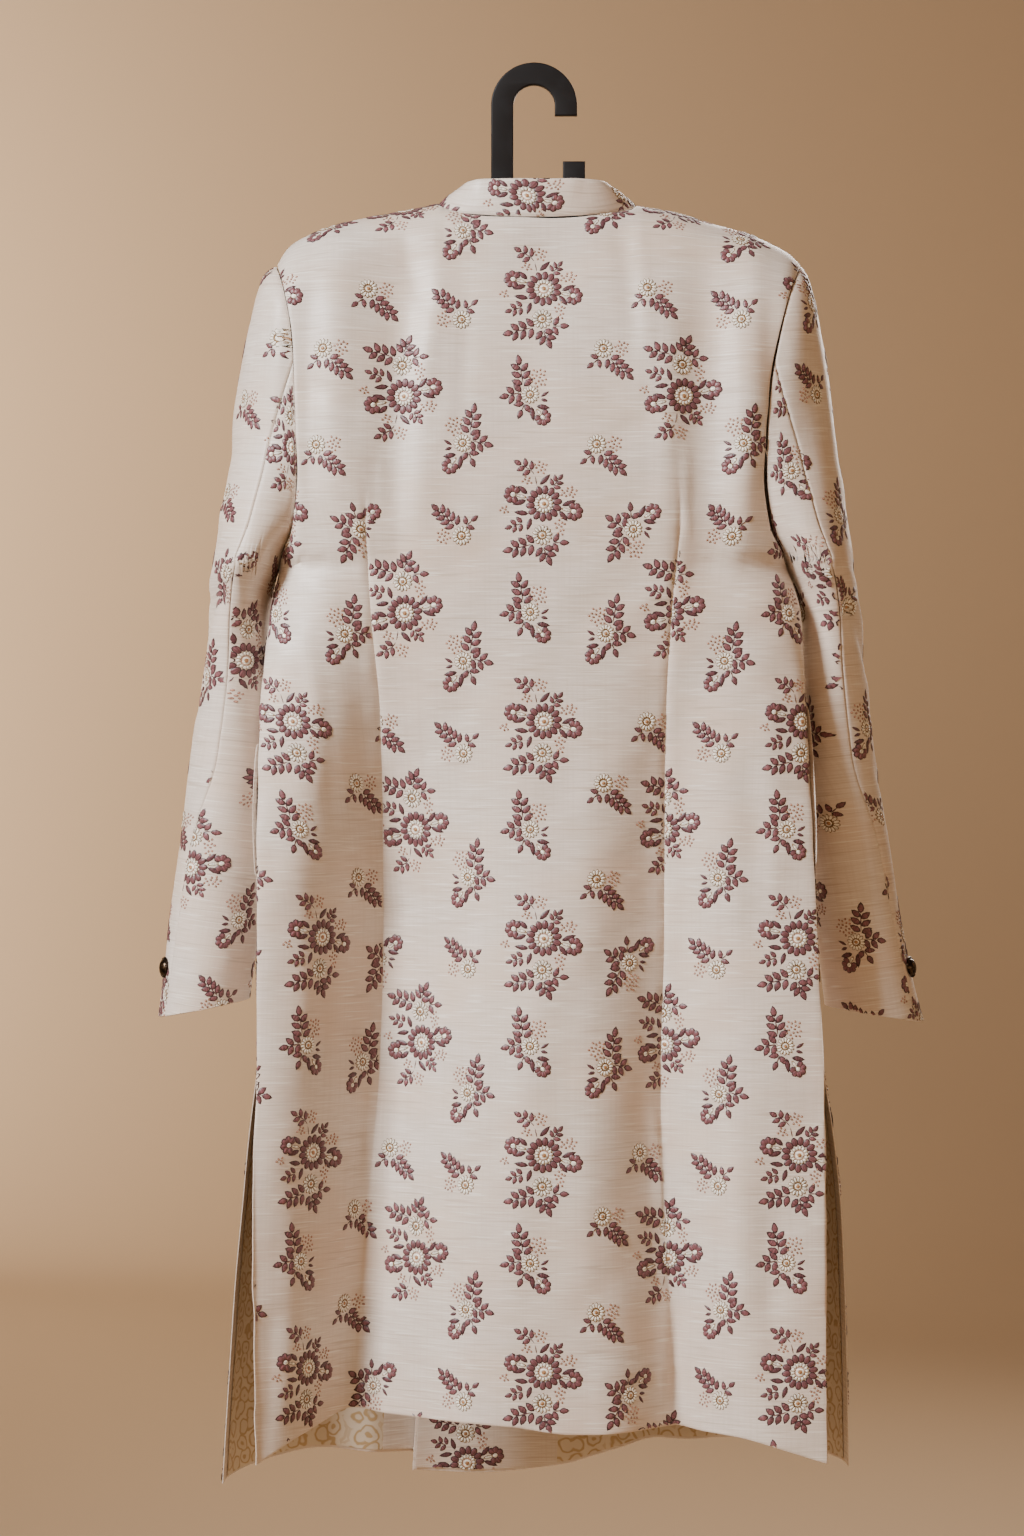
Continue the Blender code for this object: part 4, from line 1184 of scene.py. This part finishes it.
def designPlaces(uv, origin):
    # every place of the repeat that falls on a panel, with a margin for drawings cut by its edge
    margin = 60
    low = uv.reshape(-1, 2).min(axis=0) - margin
    high = uv.reshape(-1, 2).max(axis=0) + margin
    places = []
    for i in range(-4, 5):
        for j in range(-8, 9):
            cell = list(repeatPlaces) + (list(mixedPlaces) if j % 2 == 0 else [])
            for kind, across, up, turn in cell:
                u = origin[0] + i * repeatSize["across"] + across
                v = origin[1] - j * repeatSize["down"] + up
                if low[0] < u < high[0] and low[1] < v < high[1]:
                    places.append((kind, u, v, turn))
    return places


def embroider(name, cloth, places, shift=None):
    surface = clothSurface(name + "Surface", cloth, shift)
    mesh = bpy.data.meshes.new(name + "Points")
    spots = [((u + flatOrigin[0]) * mm, (v + flatOrigin[1]) * mm, 0) for _, u, v, _ in places]
    mesh.from_pydata(spots, [], [])
    kind = mesh.attributes.new("kind", "INT", "POINT")
    kind.data.foreach_set("value", [p[0] for p in places])
    turn = mesh.attributes.new("turn", "FLOAT", "POINT")
    turn.data.foreach_set("value", [math.radians(p[3]) for p in places])
    worker = newObject(name + "Points", mesh)
    piece = runTree(worker, layDesign, {"Cloth": surface, "Motifs": motifs, "Material": thread}, name)
    discard(surface)
    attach(piece, "root")
    print(name, len(piece.data.polygons), "stitched faces")
    return piece


def declare(piece, cloth, node):
    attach(piece, "root")
    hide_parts(node)
    width, length, area = cloth.flatSize()
    print(piece.name, "flat %.3f x %.3f m, %.3f m2" % (width, length, area), len(piece.data.polygons))


def makePanel(name, cloth, thickness, node, design, places, inside=None, shift=None):
    # an embroidered panel of silk
    panel = wall(name, cloth, thickness, silk, inside, shift)
    stitched = embroider(design, cloth, places, shift)
    declare(panel, cloth, node)


def pressedLine(distances, fold):
    # the line where the turned-up hem ends, pressed through to the outside
    gap, height, width = fold
    return height * np.exp(-((distances["bottom"] - gap) / width) ** 2)


backPiece = {
    "thickness": 2.0,
    "step": {"x": 4.6, "z": 5.6},
    "design": (6.5, -189.0),
    "seams": {"top": -400, "left": form["ventTopZ"], "right": form["ventTopZ"]},
    "unevenness": 0.8,
    "crumple": 0.34,            # finer unevenness, as silk keeps it from being worn and folded
    # from x and z, to x and z, bow, width, height off the cloth; a trough is below 0
    "creases": (
        (-116, -130, -134, -450, 4, 22, -9.5),
        (-172, -130, -178, -400, 0, 20, 6.0),
        (-96, -180, -104, -440, -3, 14, 2.6),
        (-198, -170, -196, -400, -4, 13, -3.0),
        (-214, -240, -212, -480, 0, 9, 2.0),
        (150, -150, 146, -480, 2, 23, -9.5),
        (116, -200, 112, -440, 0, 12, 2.4),
        (176, -190, 178, -440, 3, 13, 4.2),
        (190, -140, 196, -330, 0, 12, 3.0),
        (203, -190, 200, -420, 3, 12, -2.6),
        (-136, -330, -131, -440, 0, 5, 1.8),
        (132, -320, 130, -410, 0, 4, 1.4),
        (-100, -100, -60, -160, 6, 9, 1.6),
        (-118, -130, -92, -210, -5, 10, -1.8),
        (-85, -140, -102, -280, 5, 9, 1.4),
        (-60, -170, -72, -330, 3, 8, -1.2),
        (70, -120, 84, -250, 4, 10, -1.6),
        (88, -130, 98, -270, 2, 8, 1.4),
        (-70, -280, -95, -340, 3, 7, 0.9),
        (60, -330, 110, -300, 5, 9, -0.9),
        (80, -470, 118, -450, -4, 7, 1.6),
        (74, -500, 116, -515, 4, 7, -1.6),
        (-118, -520, -60, -540, 4, 8, 1.1),
        (-110, -600, -62, -585, -4, 8, -1.0),
        (60, -560, 104, -600, 5, 8, 1.2),
        (-124, -760, -90, -742, 4, 8, 1.0),
        (-163, -900, -190, -1095, 8, 12, 2.6),
        (-150, -880, -172, -1010, 5, 9, -2.6),
        (-139, -895, -146, -1000, 3, 5, 1.8),
        (-146, -1000, -150, -1120, -3, 6, -1.8),
        (-150, -1080, -158, -1190, 0, 6, -2.4),
        (-128, -930, -137, -1170, 5, 9, 1.6),
        (-214, -980, -226, -1180, 5, 12, 2.4),
        (-232, -1080, -238, -1210, 3, 8, -2.0),
        (101, -900, 110, -1025, 2, 4, 2.4),
        (113, -1015, 115, -1200, 0, 7, 2.0),
        (124, -1080, 122, -1200, 0, 5, -2.2),
        (-60, -880, -80, -1100, 6, 16, 1.4),
        (-34, -930, -46, -1180, 4, 14, -1.2),
        (40, -700, 30, -1000, 6, 20, 1.1),
        (62, -900, 56, -1180, -4, 16, -1.4),
        (178, -560, 190, -800, 6, 14, -2.2),
        (202, -520, 205, -760, 4, 12, 1.8),
        (166, -880, 176, -1120, 6, 12, 1.8),
        (205, -960, 214, -1180, -5, 12, -1.8),
        (-206, -480, -186, -640, 5, 10, 2.0),
        (-186, -520, -170, -700, -4, 9, -2.0),
        (-212, -660, -206, -900, 5, 12, 1.8),
        (-190, -760, -196, -950, 4, 9, -1.6),
        (-60, -345, 60, -352, 3, 8, 0.5),
        (-210, -270, -150, -305, 5, 9, -1.4),
        (205, -300, 150, -330, 5, 10, -1.4),
        (-222, -440, -170, -470, 6, 10, 1.6),
        (225, -440, 170, -480, 6, 10, 1.5),
    ),
    "hemFold": (54.0, 0.45, 2.6),       # mm above the hem, height and width of the pressed line
    "dart": {
        "fromZ": (-355, -395),          # fades in from the first height to the second
        "untilZ": (-900, -960),
        "depth": 1.5,
        "width": 2.2,
        "pucker": (0.5, 7.0, 3.5, 6.5),     # height, mm from the stitches, width, mm between
    },
}


def dartMarks(x, z, dart):
    # each dart's stitched groove, and the small puckers beside it
    total = np.zeros(x.shape)
    height, off, width, between = dart["pucker"]
    for sign, name in ((-1, "leftX"), (1, "rightX")):
        away = np.abs(x - sign * readTable(backValleys, name, z))
        start = smooth((dart["fromZ"][0] - z) / (dart["fromZ"][0] - dart["fromZ"][1]))
        onDart = start * smooth((z - dart["untilZ"][1]) / (dart["untilZ"][0] - dart["untilZ"][1]))
        total -= dart["depth"] * np.exp(-away / dart["width"]) * onDart
        total += height * np.exp(-((away - off) / width) ** 2) * onDart * (1 + np.sin(z / between))
    return total


def makeBack(piece):
    grid, uv, shares = backGrid(piece["step"])
    cloth = Cloth(grid, uv)
    x, z = grid[..., 0], grid[..., 2]
    distances = edgeDistance(grid)
    rise = creaseField(x, z, piece["creases"])
    rise += ripples(x, z, 3, piece["unevenness"], ((60, 170), (140, 420)))
    rise += ripples(x, z, 8, piece["crumple"], ((34, 90), (36, 110))) * smooth((-200 - z) / 200)
    rise += pressedLine(distances, piece["hemFold"])
    rise += dartMarks(x, z, piece["dart"])
    rise -= seamRoll(grid, distances, piece["seams"])
    cloth.move(rise)
    makePanel("coatBack", cloth, piece["thickness"], "back", "backDesign",
              designPlaces(uv, piece["design"]), inside=lining, shift=dartShift(cloth, shares))


makeBack(backPiece)
print("back made")


frontPieces = {
    "left": {
        "node": "front_left_over",
        "thickness": 2.0,
        "design": (-3.0, -192.0),
        "seams": {"top": -400, "right": form["ventTopZ"]},
        "facingFrom": 0.46,
        "creases": (
            (-160, -160, -168, -330, 4, 12, -2.0),
            (-180, -150, -182, -300, 0, 13, 2.0),
            (-90, -130, -60, -230, 5, 10, 1.4),
            (-215, -430, -150, -480, 6, 11, 1.3),
            (-150, -560, -158, -1000, 6, 12, -1.6),
            (-60, -900, -75, -1200, 5, 16, 1.3),
            (-200, -900, -215, -1200, -5, 12, 1.5),
            (-20, -500, -26, -900, 4, 18, 0.8),
            (-120, -420, -90, -520, 5, 12, -0.9),
        ),
        "seed": 11,
    },
    "right": {
        "node": "front_right_under",
        "thickness": 2.0,
        "design": (-3.0, -192.0),
        "seams": {"top": -400, "left": form["ventTopZ"]},
        "facingFrom": 0.654,
        "creases": (
            (150, -160, 158, -330, -4, 12, -2.0),
            (176, -150, 174, -310, 0, 13, 1.8),
            (86, -130, 62, -240, -5, 10, 1.3),
            (220, -430, 150, -490, 6, 11, 1.2),
            (142, -560, 146, -1000, -6, 12, -1.5),
            (80, -880, 96, -1180, -5, 16, 1.3),
            (205, -900, 214, -1190, 5, 12, 1.4),
        ),
        "seed": 17,
    },
}

insidePieces = {
    "fromZ": -785.0,
    "clear": 0.35,              # from the front's inner face
    "facing": {"thickness": 0.9, "cloth": silk, "slot": "silk_facing"},
    "lining": {"thickness": 0.8, "cloth": lining, "slot": "brocade_lining"},
}


def part(cloth, rows, columns, offset, flip):
    # a stretch of another panel, moved out from its outer face by an offset
    grid = cloth.grid[rows, columns] + cloth.normals[rows, columns] * offset
    uv = cloth.uv[rows, columns].copy()
    if flip:
        grid, uv = grid[:, ::-1], uv[:, ::-1] * (-1, 1)
    return Cloth(grid, uv)


def facingPlaces(cloth):
    # one column of drawings beside the facing's free edge
    edge = cloth.uv[:, 0, 0].mean() + 34.0
    return [(1, edge, -1250.0 + k * repeatSize["down"], 0) for k in range(3)]


def makeFront(side, piece):
    grid, uv = frontGrid(side, backPiece["step"])
    cloth = Cloth(grid, uv)
    x, z = grid[..., 0], grid[..., 2]
    distances = edgeDistance(grid)
    rise = creaseField(x, z, piece["creases"])
    rise += ripples(x, z, piece["seed"], 0.45, ((60, 170), (140, 420)))
    rise += pressedLine(distances, backPiece["hemFold"])
    calm = smooth((np.minimum(distances["left"], distances["right"]) - 2) / 30)
    if side == "right":
        rise *= smooth((x - 30) / 60)       # flat where the other front lies over it
    rise *= 0.25 + 0.75 * calm
    rise -= seamRoll(grid, distances, piece["seams"])
    cloth.move(rise)
    ending = side.capitalize()
    makePanel("coatFront" + ending, cloth, piece["thickness"], piece["node"],
              "front%sDesign" % ending, designPlaces(uv, piece["design"]))

    # inside the skirt: facing by the centre edge, lining beside it
    columns = grid.shape[1]
    share = piece["facingFrom"]
    split = int(columns * (1 - share)) if side == "left" else int(columns * share)
    insides = [slice(1, split + 1), slice(split, columns - 1)]
    topRow = int(np.argmax(grid[:, columns // 2, 2] < insidePieces["fromZ"]))
    for kind, across in zip(("facing", "lining"), insides if side == "left" else insides[::-1]):
        look = insidePieces[kind]
        away = piece["thickness"] + insidePieces["clear"] + look["thickness"]
        inner = part(cloth, slice(topRow, len(grid) - 2), across, -away, True)
        extras = []
        if kind == "facing" and side == "right":
            extras = [embroider("facingDesign", inner, facingPlaces(inner))]
        sheet = wall("coat" + kind.capitalize() + ending, inner, look["thickness"], look["cloth"])
        declare(sheet, inner, kind + "_" + side)
    return cloth


frontCloths = {side: makeFront(side, piece) for side, piece in frontPieces.items()}
print("fronts made")


# in-seam pockets: a narrow welt on each front's side edge, whose middle stands a little open
lipPiece = {
    "mouth": {"left": (-589, -704), "right": (-556, -694)},
    "width": 9.0,
    "clear": 0.4,
    "stand": 3.0,
    "gape": 0.6,                # below 1 the mouth opens quickly from its ends
    "lean": 0.4,
    "thickness": 1.2,
    "rows": 48,
    "columns": 7,
}


def makeLip(side, cloth, piece):
    sign = -1 if side == "left" else 1
    seamColumn = cloth.grid.shape[1] - 1 if side == "left" else 0
    order = np.argsort(cloth.grid[:, seamColumn, 2])
    topZ, lowZ = piece["mouth"][side]
    z = np.linspace(topZ, lowZ, piece["rows"])

    def along(values):
        heights = cloth.grid[order, seamColumn, 2]
        return np.stack([np.interp(z, heights, values[order, k]) for k in range(3)], axis=-1)

    seam = along(cloth.grid[:, seamColumn])
    normal = along(cloth.normals[:, seamColumn])
    inward = along(cloth.grid[:, seamColumn + 3 * sign]) - seam
    inward /= np.linalg.norm(inward, axis=-1, keepdims=True)
    share = np.linspace(0, 1, piece["columns"])[None, :, None]
    gape = np.sin(math.pi * np.linspace(0, 1, piece["rows"])) ** piece["gape"] * piece["stand"]
    away = np.array([sign, -piece["lean"], 0.0])
    grid = seam[:, None] + inward[:, None] * (1 - share) * piece["width"]
    grid = grid + normal[:, None] * piece["clear"] + away * (gape[:, None, None] * share ** 2)
    widest = np.linalg.norm(np.diff(grid, axis=1), axis=-1).sum(axis=1).max()
    uv = np.stack(np.broadcast_arrays(-sign * share[..., 0] * widest, z[:, None]), axis=-1)
    if side == "right":
        grid, uv = grid[:, ::-1], uv[:, ::-1]
    lip = Cloth(grid, uv)
    lip.move(np.full(grid.shape[:2], piece["thickness"]))
    welt = wall("pocketLip" + side.capitalize(), lip, piece["thickness"], silk)
    declare(welt, lip, "pocket_lip_" + side)


for side, cloth in frontCloths.items():
    makeLip(side, cloth, lipPiece)
print("pocket lips made")


sleevePiece = {
    "thickness": 2.0,
    "step": {"x": 4.6, "z": 5.2},
    "cuffZ": {"left": (-818, -834), "right": (-824, -838)},
    "parts": {"Top": (5, 14), "Under": (14, 23)},       # seams, as places round the armhole
    "underFrom": 170.0,         # where the under sleeve's design starts across
    "seams": {"top": -2000, "left": -2000, "right": -2000},
    "design": {"left": (-8.0, -228.0), "right": (16.0, -250.0)},
    # on the flat sleeve: from across and up, to across and up, bow, width, height
    "creases": {
        "left": (
            (-70, -430, 10, -480, 8, 9, 2.2),
            (-80, -446, 0, -505, 6, 8, -2.6),
            (-75, -470, 30, -440, -8, 9, -2.0),
            (-66, -480, -20, -560, 6, 8, 1.8),
            (-60, -400, 20, -380, 6, 12, 1.6),
            (-50, -330, 30, -350, 8, 14, -1.5),
            (-40, -560, 20, -640, 6, 10, 1.4),
            (10, -620, -40, -700, -6, 11, -1.4),
            (-30, -700, 40, -740, 5, 10, 1.2),
            (0, -220, -30, -330, 6, 12, 1.6),
            (30, -210, 26, -330, 4, 13, -1.6),
        ),
        "right": (
            (-60, -430, 20, -460, 8, 9, -2.0),
            (-66, -450, 10, -520, 6, 8, 2.2),
            (-60, -480, 0, -560, 8, 8, -2.4),
            (-40, -530, 30, -610, 6, 10, 1.8),
            (-50, -610, 10, -670, 6, 9, -1.6),
            (-40, -670, 30, -720, 5, 10, 1.5),
            (-30, -740, 30, -770, 4, 9, -1.2),
            (-50, -350, 20, -380, 6, 13, 1.5),
            (0, -220, 20, -330, 6, 12, 1.6),
            (-30, -210, -24, -320, 4, 12, -1.6),
        ),
    },
    "seamDepth": 0.5,
    "cuffFold": (38.0, 0.4, 2.4),
}


def makeSleeve(side, half, piece):
    grid, uv = sleeveGrid(side, piece["parts"][half], piece["step"])
    if half == "Under":
        uv = uv + (piece["underFrom"], 0.0)
    cloth = Cloth(grid, uv)
    distances = edgeDistance(grid)
    u, v = uv[..., 0] * (-1 if side == "left" else 1), uv[..., 1]
    rise = creaseField(u, v, piece["creases"][side])
    rise += ripples(u, v, 23 + (side == "left") + 2 * (half == "Under"), 0.6, ((50, 130), (110, 300)))
    rise += pressedLine(distances, piece["cuffFold"])
    calm = smooth((np.minimum(distances["left"], distances["right"]) - 1) / 22)
    rise *= (0.15 + 0.85 * calm) * smooth(distances["top"] / 30)
    rise -= seamRoll(grid, distances, piece["seams"], depth=piece["seamDepth"])
    cloth.move(rise)
    name = "sleeve" + half + side.capitalize()
    makePanel(name, cloth, piece["thickness"], "sleeve_%s_%s" % (half.lower(), side),
              name + "Design", designPlaces(uv, piece["design"][side]))


for side in ("left", "right"):
    for half in sleevePiece["parts"]:
        makeSleeve(side, half, sleevePiece)
print("sleeves made")


collarPiece = {
    "columns": 26,              # in each quarter of its round
    "endGap": 2.0,
    "seamGap": 0.6,
    "topHalf": 62.0,
    "topBackY": -41.0,
    "topFrontY": 47.0,
    "topBackZ": -89.0,
    "topFrontZ": -131.0,
    "square": 0.5,
    "bulge": 0.9,
    "thickness": 2.0,
    "design": (-8.0, -17.0),
    "seams": {"bottom": -2000},
    "seamDepth": 0.6,
    "topRoll": (0.7, 1.6),      # depth and reach of the rolled top edge
    "creases": (
        (42, 4, 40, -30, 1, 3.5, -0.9),
        (-60, 4, -52, -34, 2, 5, 0.6),
    ),
}


def makeCollar(piece):
    grid, uv = collarGrid(piece)
    cloth = Cloth(grid, uv)
    distances = edgeDistance(grid)
    rise = ripples(uv[..., 0], uv[..., 1] * 4, 31, 0.3, ((40, 90), (120, 300)))
    rise += creaseField(uv[..., 0], uv[..., 1], piece["creases"])
    rise -= seamRoll(grid, distances, piece["seams"], depth=piece["seamDepth"])
    depth, reach = piece["topRoll"]
    rise -= depth * np.exp(-(distances["top"] / reach) ** 2)
    cloth.move(rise)
    makePanel("coatCollar", cloth, piece["thickness"], "collar", "collarDesign",
              designPlaces(uv, piece["design"]))


makeCollar(collarPiece)
print("collar made")


buttonPiece = {
    "radius": 9.5,
    "height": 5.0,
    "rim": 1.2,
    "beads": 26,
    "beadSize": 0.75,
    "sides": 48,
}


def beadRingTree():
    tree, given = newTree("beadRing", ("Beads", "Int"), ("Ring Radius", "Float"),
                          ("Bead Radius", "Float"), ("Height", "Float"), ("Material", "Material"))
    ring = addNode(tree, "GeometryNodeMeshCircle", {0: given["Beads"], 1: given["Ring Radius"]}).outputs[0]
    lift = addNode(tree, "ShaderNodeCombineXYZ", {2: given["Height"]}).outputs[0]
    ring = addNode(tree, "GeometryNodeSetPosition", {"Geometry": ring, "Offset": lift}).outputs[0]
    bead = addNode(tree, "GeometryNodeMeshIcoSphere", {0: given["Bead Radius"], 1: 2}).outputs[0]
    beads = addNode(tree, "GeometryNodeInstanceOnPoints", {"Points": ring, "Instance": bead}).outputs[0]
    both = addNode(tree, "GeometryNodeJoinGeometry", {0: beads})
    tree.links.new(given["Geometry"], both.inputs[0])
    real = addNode(tree, "GeometryNodeRealizeInstances", {0: both.outputs[0]}).outputs[0]
    shaded = addNode(tree, "GeometryNodeSetShadeSmooth", {0: real}).outputs[0]
    done = addNode(tree, "GeometryNodeSetMaterial", {0: shaded, 2: given["Material"]}).outputs[0]
    addNode(tree, "NodeGroupOutput", {0: done})
    return tree


def turned(name, profile, steps, merge):
    # a profile in X and Z turned about Z, with its poles closed
    bm = bmesh.new()
    points = [bm.verts.new((x, 0, z)) for x, z in profile]
    for start, end in zip(points, points[1:]):
        bm.edges.new((start, end))
    bmesh.ops.spin(bm, geom=bm.verts[:] + bm.edges[:], axis=(0, 0, 1), cent=(0, 0, 0),
                   angle=2 * math.pi, steps=steps, use_merge=True)
    return asMesh(bm, name, merge)


def asMesh(bm, name, merge):
    bmesh.ops.remove_doubles(bm, verts=bm.verts[:], dist=merge)
    bmesh.ops.recalc_face_normals(bm, faces=bm.faces[:])
    mesh = bpy.data.meshes.new(name)
    bm.to_mesh(mesh)
    bm.free()
    return mesh


def makeButton(piece):
    # a dome with a stepped rim, and a ring of beads round its foot
    radius, height, rim = piece["radius"], piece["height"], piece["rim"]
    profile = [(0.0, 0.0), (radius - 1.0, 0.0), (radius, 0.5), (radius, rim),
               (radius - 0.5, rim + 0.35), (radius - 1.9, rim + 0.2)]
    for angle in np.linspace(12, 90, 12):
        a = math.radians(angle)
        profile.append(((radius - 2.0) * math.cos(a), rim + (height - rim) * math.sin(a)))
    body = turned("buttonBody", [(x * mm, z * mm) for x, z in profile], piece["sides"], 1e-6)
    sizes = {
        "Beads": piece["beads"],
        "Ring Radius": (radius - 1.2) * mm,
        "Bead Radius": piece["beadSize"] * mm,
        "Height": (rim + 0.25) * mm,
        "Material": metal,
    }
    return runTree(newObject("buttonWorker", body), beadRingTree(), sizes, "buttonPattern")


def buttonPlace(node):
    # the CAD button's seat and the way it faces, from the spread of its points
    points = np.array([v.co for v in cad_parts[node].data.vertices])
    middle = points.mean(axis=0)
    axis = np.linalg.svd(points - middle, full_matrices=False)[2][-1]
    if axis @ (middle - np.array([middle[0] * 0.8, 0.02, middle[2]])) < 0:
        axis = -axis
    seat = middle + axis * ((points - middle) @ axis).min()
    return Vector(seat), Vector(axis)


pattern = makeButton(buttonPiece)
for node in sorted(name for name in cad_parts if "button" in name):
    seat, axis = buttonPlace(node)
    mesh = pattern.data.copy()
    mesh.transform(Matrix.Translation(seat) @ axis.to_track_quat("Z", "Y").to_matrix().to_4x4())
    first, *words = node.split("_")
    button = newObject(first + "".join(word.capitalize() for word in words), mesh)
    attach(button, "root")
    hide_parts(node)
discard(pattern)
print("buttons made")


hangerPiece = {
    "hookX": -1.7,
    "inner": 18.5,
    "outer": 38.4,
    "tip": 9.0,
    "post": (24.0, 43.8),
    "postTop": -68.6,
    "hookPlate": 8.0,
    "barPlate": 12.0,
    "barHalf": 185.0,
    "barUnderCloth": 7.0,
    "barDepth": 30.0,
    "barEndDepth": 13.0,
    "barTaper": 0.7,
    "barStations": (-165, -140, -115, -88, -40, 90, 115, 140, 165),
    "bevel": 1.3,
    "seamGap": 0.3,
}


def plate(name, outline, thickness, node):
    # a flat moulding with eased edges, from an outline in X and Z
    curve = bpy.data.curves.new(name, "CURVE")
    curve.dimensions = "2D"
    curve.fill_mode = "BOTH"
    bevel = hangerPiece["bevel"]
    curve.extrude = (thickness / 2 - bevel) * mm
    curve.bevel_depth = bevel * mm
    curve.bevel_resolution = 3
    curve.offset = -bevel * mm
    spline = curve.splines.new("POLY")
    spline.points.add(len(outline) - 1)
    for point, (x, z) in zip(spline.points, outline):
        point.co = (x * mm, z * mm, 0, 1)
    spline.use_cyclic_u = True
    worker = newObject(name + "Outline", curve)
    rough = evaluated(worker)
    bpy.data.objects.remove(worker)
    bpy.data.curves.remove(curve)
    rough.transform(Matrix.Rotation(math.radians(90), 4, "X"))
    bm = bmesh.new()
    bm.from_mesh(rough)
    bpy.data.meshes.remove(rough)
    mesh = asMesh(bm, name, 1e-6)
    mesh.materials.append(plastic)
    mesh.shade_smooth()
    mesh.set_sharp_from_angle(angle=math.radians(40))
    piece = newObject(name, mesh)
    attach(piece, "root")
    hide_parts(node)


def arc(centre, radius, start, end, count):
    angles = np.radians(np.linspace(start, end, count))
    return [(centre[0] + radius * math.cos(a), centre[1] + radius * math.sin(a)) for a in angles]


def makeHanger(piece):
    middle = (piece["hookX"], -piece["inner"])
    footZ = float(shoulderTop(form["neckShare"])) - piece["barUnderCloth"] + piece["seamGap"]
    tipZ = middle[1] - piece["tip"]
    left, right = middle[0] - piece["outer"], middle[0] + piece["outer"]
    hook = [(left, footZ)] + arc(middle, piece["outer"], 180, 0, 61)
    hook += [(right, tipZ), (middle[0] + piece["inner"], tipZ)]
    hook += arc(middle, piece["inner"], 0, 180, 45) + [(middle[0] - piece["inner"], footZ)]
    plate("hangerHook", hook, piece["hookPlate"], "hanger_hook")

    def barTop(x):
        return float(shoulderTop(x / halfWidth(x, form["tipZ"]))) - piece["barUnderCloth"]

    stations = sorted(piece["barStations"] + piece["post"] + (-piece["barHalf"], piece["barHalf"]))
    top = []
    for x in stations:
        if x == piece["post"][1]:
            top.append((x, piece["postTop"]))
        top.append((x, barTop(x)))
        if x == piece["post"][0]:
            top.append((x, piece["postTop"]))
    low = []
    for x in stations[::-1]:
        share = (1 - abs(x) / piece["barHalf"]) ** piece["barTaper"]
        low.append((x, barTop(x) - piece["barEndDepth"] - (piece["barDepth"] - piece["barEndDepth"]) * share))
    plate("hangerBar", top + low, piece["barPlate"], "hanger_bar")


makeHanger(hangerPiece)
print("hanger made")


studio = {
    "floorZ": -1.72,
    "radius": 7.2,
    "cove": 2.2,
    "wallTop": 4.0,
    "tone": "#aa9174",
    "glow": 0.8,
    "glowFrom": (30, 95),       # degrees from +Y, where the paper glows with painted light, beside and behind the camera
    "camera": (-0.0214, -3.265, -0.6096),
    "lens": 85.7,
}


def makeStudio(look):
    profile = [(0.0, look["floorZ"]), (look["radius"] - look["cove"], look["floorZ"])]
    for angle in np.linspace(0, 90, 16)[1:]:
        a = math.radians(angle)
        profile.append((look["radius"] - look["cove"] * (1 - math.sin(a)),
                        look["floorZ"] + look["cove"] * (1 - math.cos(a))))
    profile.append((look["radius"], look["wallTop"]))
    mesh = turned("studioSweep", profile, 72, 1e-5)
    mesh.shade_smooth()
    # seamless paper: matte, with a painted glow (it emits its own colour) behind and beside the camera,
    # standing in for soft lamps there
    paper, tree, shader = newMaterial("seamlessPaper", Roughness=0.95, Specular_IOR_Level=0.1)
    tone = colour(look["tone"])
    shader.inputs["Base Color"].default_value = tone
    shader.inputs["Emission Strength"].default_value = look["glow"]
    # painted glow: each point's emission colour is the paper's tone, faded in with its angle from +Y
    lit = mesh.color_attributes.new("lit", "FLOAT_COLOR", "POINT")
    start, end = look["glowFrom"]
    for vertex, item in zip(mesh.vertices, lit.data):
        away = math.degrees(abs(math.atan2(vertex.co.x, vertex.co.y)))
        share = float(smooth((away - start) / (end - start)))
        item.color = [channel * share for channel in tone[:3]] + [1.0]
    glowing = addNode(tree, "ShaderNodeAttribute", attribute_name="lit").outputs[0]
    tree.links.new(glowing, shader.inputs["Emission Color"])
    mesh.materials.append(paper)
    newObject("studioSweep", mesh)


def addLight(name, place, aim, size, power, tone, spread=180):
    light = bpy.data.lights.new(name, "AREA")
    light.spread = math.radians(spread)
    light.shape = "RECTANGLE"
    light.size, light.size_y = size
    light.energy = power
    light.color = colour(tone)[:3]
    lamp = bpy.data.objects.new(name, light)
    lamp.location = place
    lamp.rotation_euler = (Vector(aim) - Vector(place)).to_track_quat("-Z", "Y").to_euler()
    bpy.context.scene.collection.objects.link(lamp)


makeStudio(studio)
addLight("keyLight", (-2.9, -2.4, 1.5), (0, 0, -0.6), (1.2, 1.4), 39, "#ffffff", 60)
addLight("fillLight", (2.6, -3.4, -0.2), (0, 0, -0.7), (2.4, 2.4), 3.5, "#ffd9b0", 90)
addLight("frontLight", (1.2, 4.0, 1.2), (0, 0, -0.6), (2.4, 2.4), 50, "#fff6ee", 90)
addLight("backdropLight", (-3.0, 5.0, 0.4), (-1.7, 7.2, 0.6), (1.2, 3.2), 240, "#fff8f0", 160)
addLight("floorLight", (-2.0, 4.0, 2.8), (-1.6, 3.8, -1.7), (1.6, 1.6), 45, "#fff4e6", 80)
world = bpy.data.worlds.new("studioAir")
world.use_nodes = True
world.node_tree.nodes["Background"].inputs[0].default_value = colour("#d9a878")
world.node_tree.nodes["Background"].inputs[1].default_value = 0.2
bpy.context.scene.world = world

cameraData = bpy.data.cameras.new("camera")
cameraData.lens = studio["lens"]
camera = bpy.data.objects.new("camera", cameraData)
camera.location = studio["camera"]
camera.rotation_euler = (math.radians(90), 0, 0)
bpy.context.scene.collection.objects.link(camera)
bpy.context.scene.camera = camera

print("studio made")
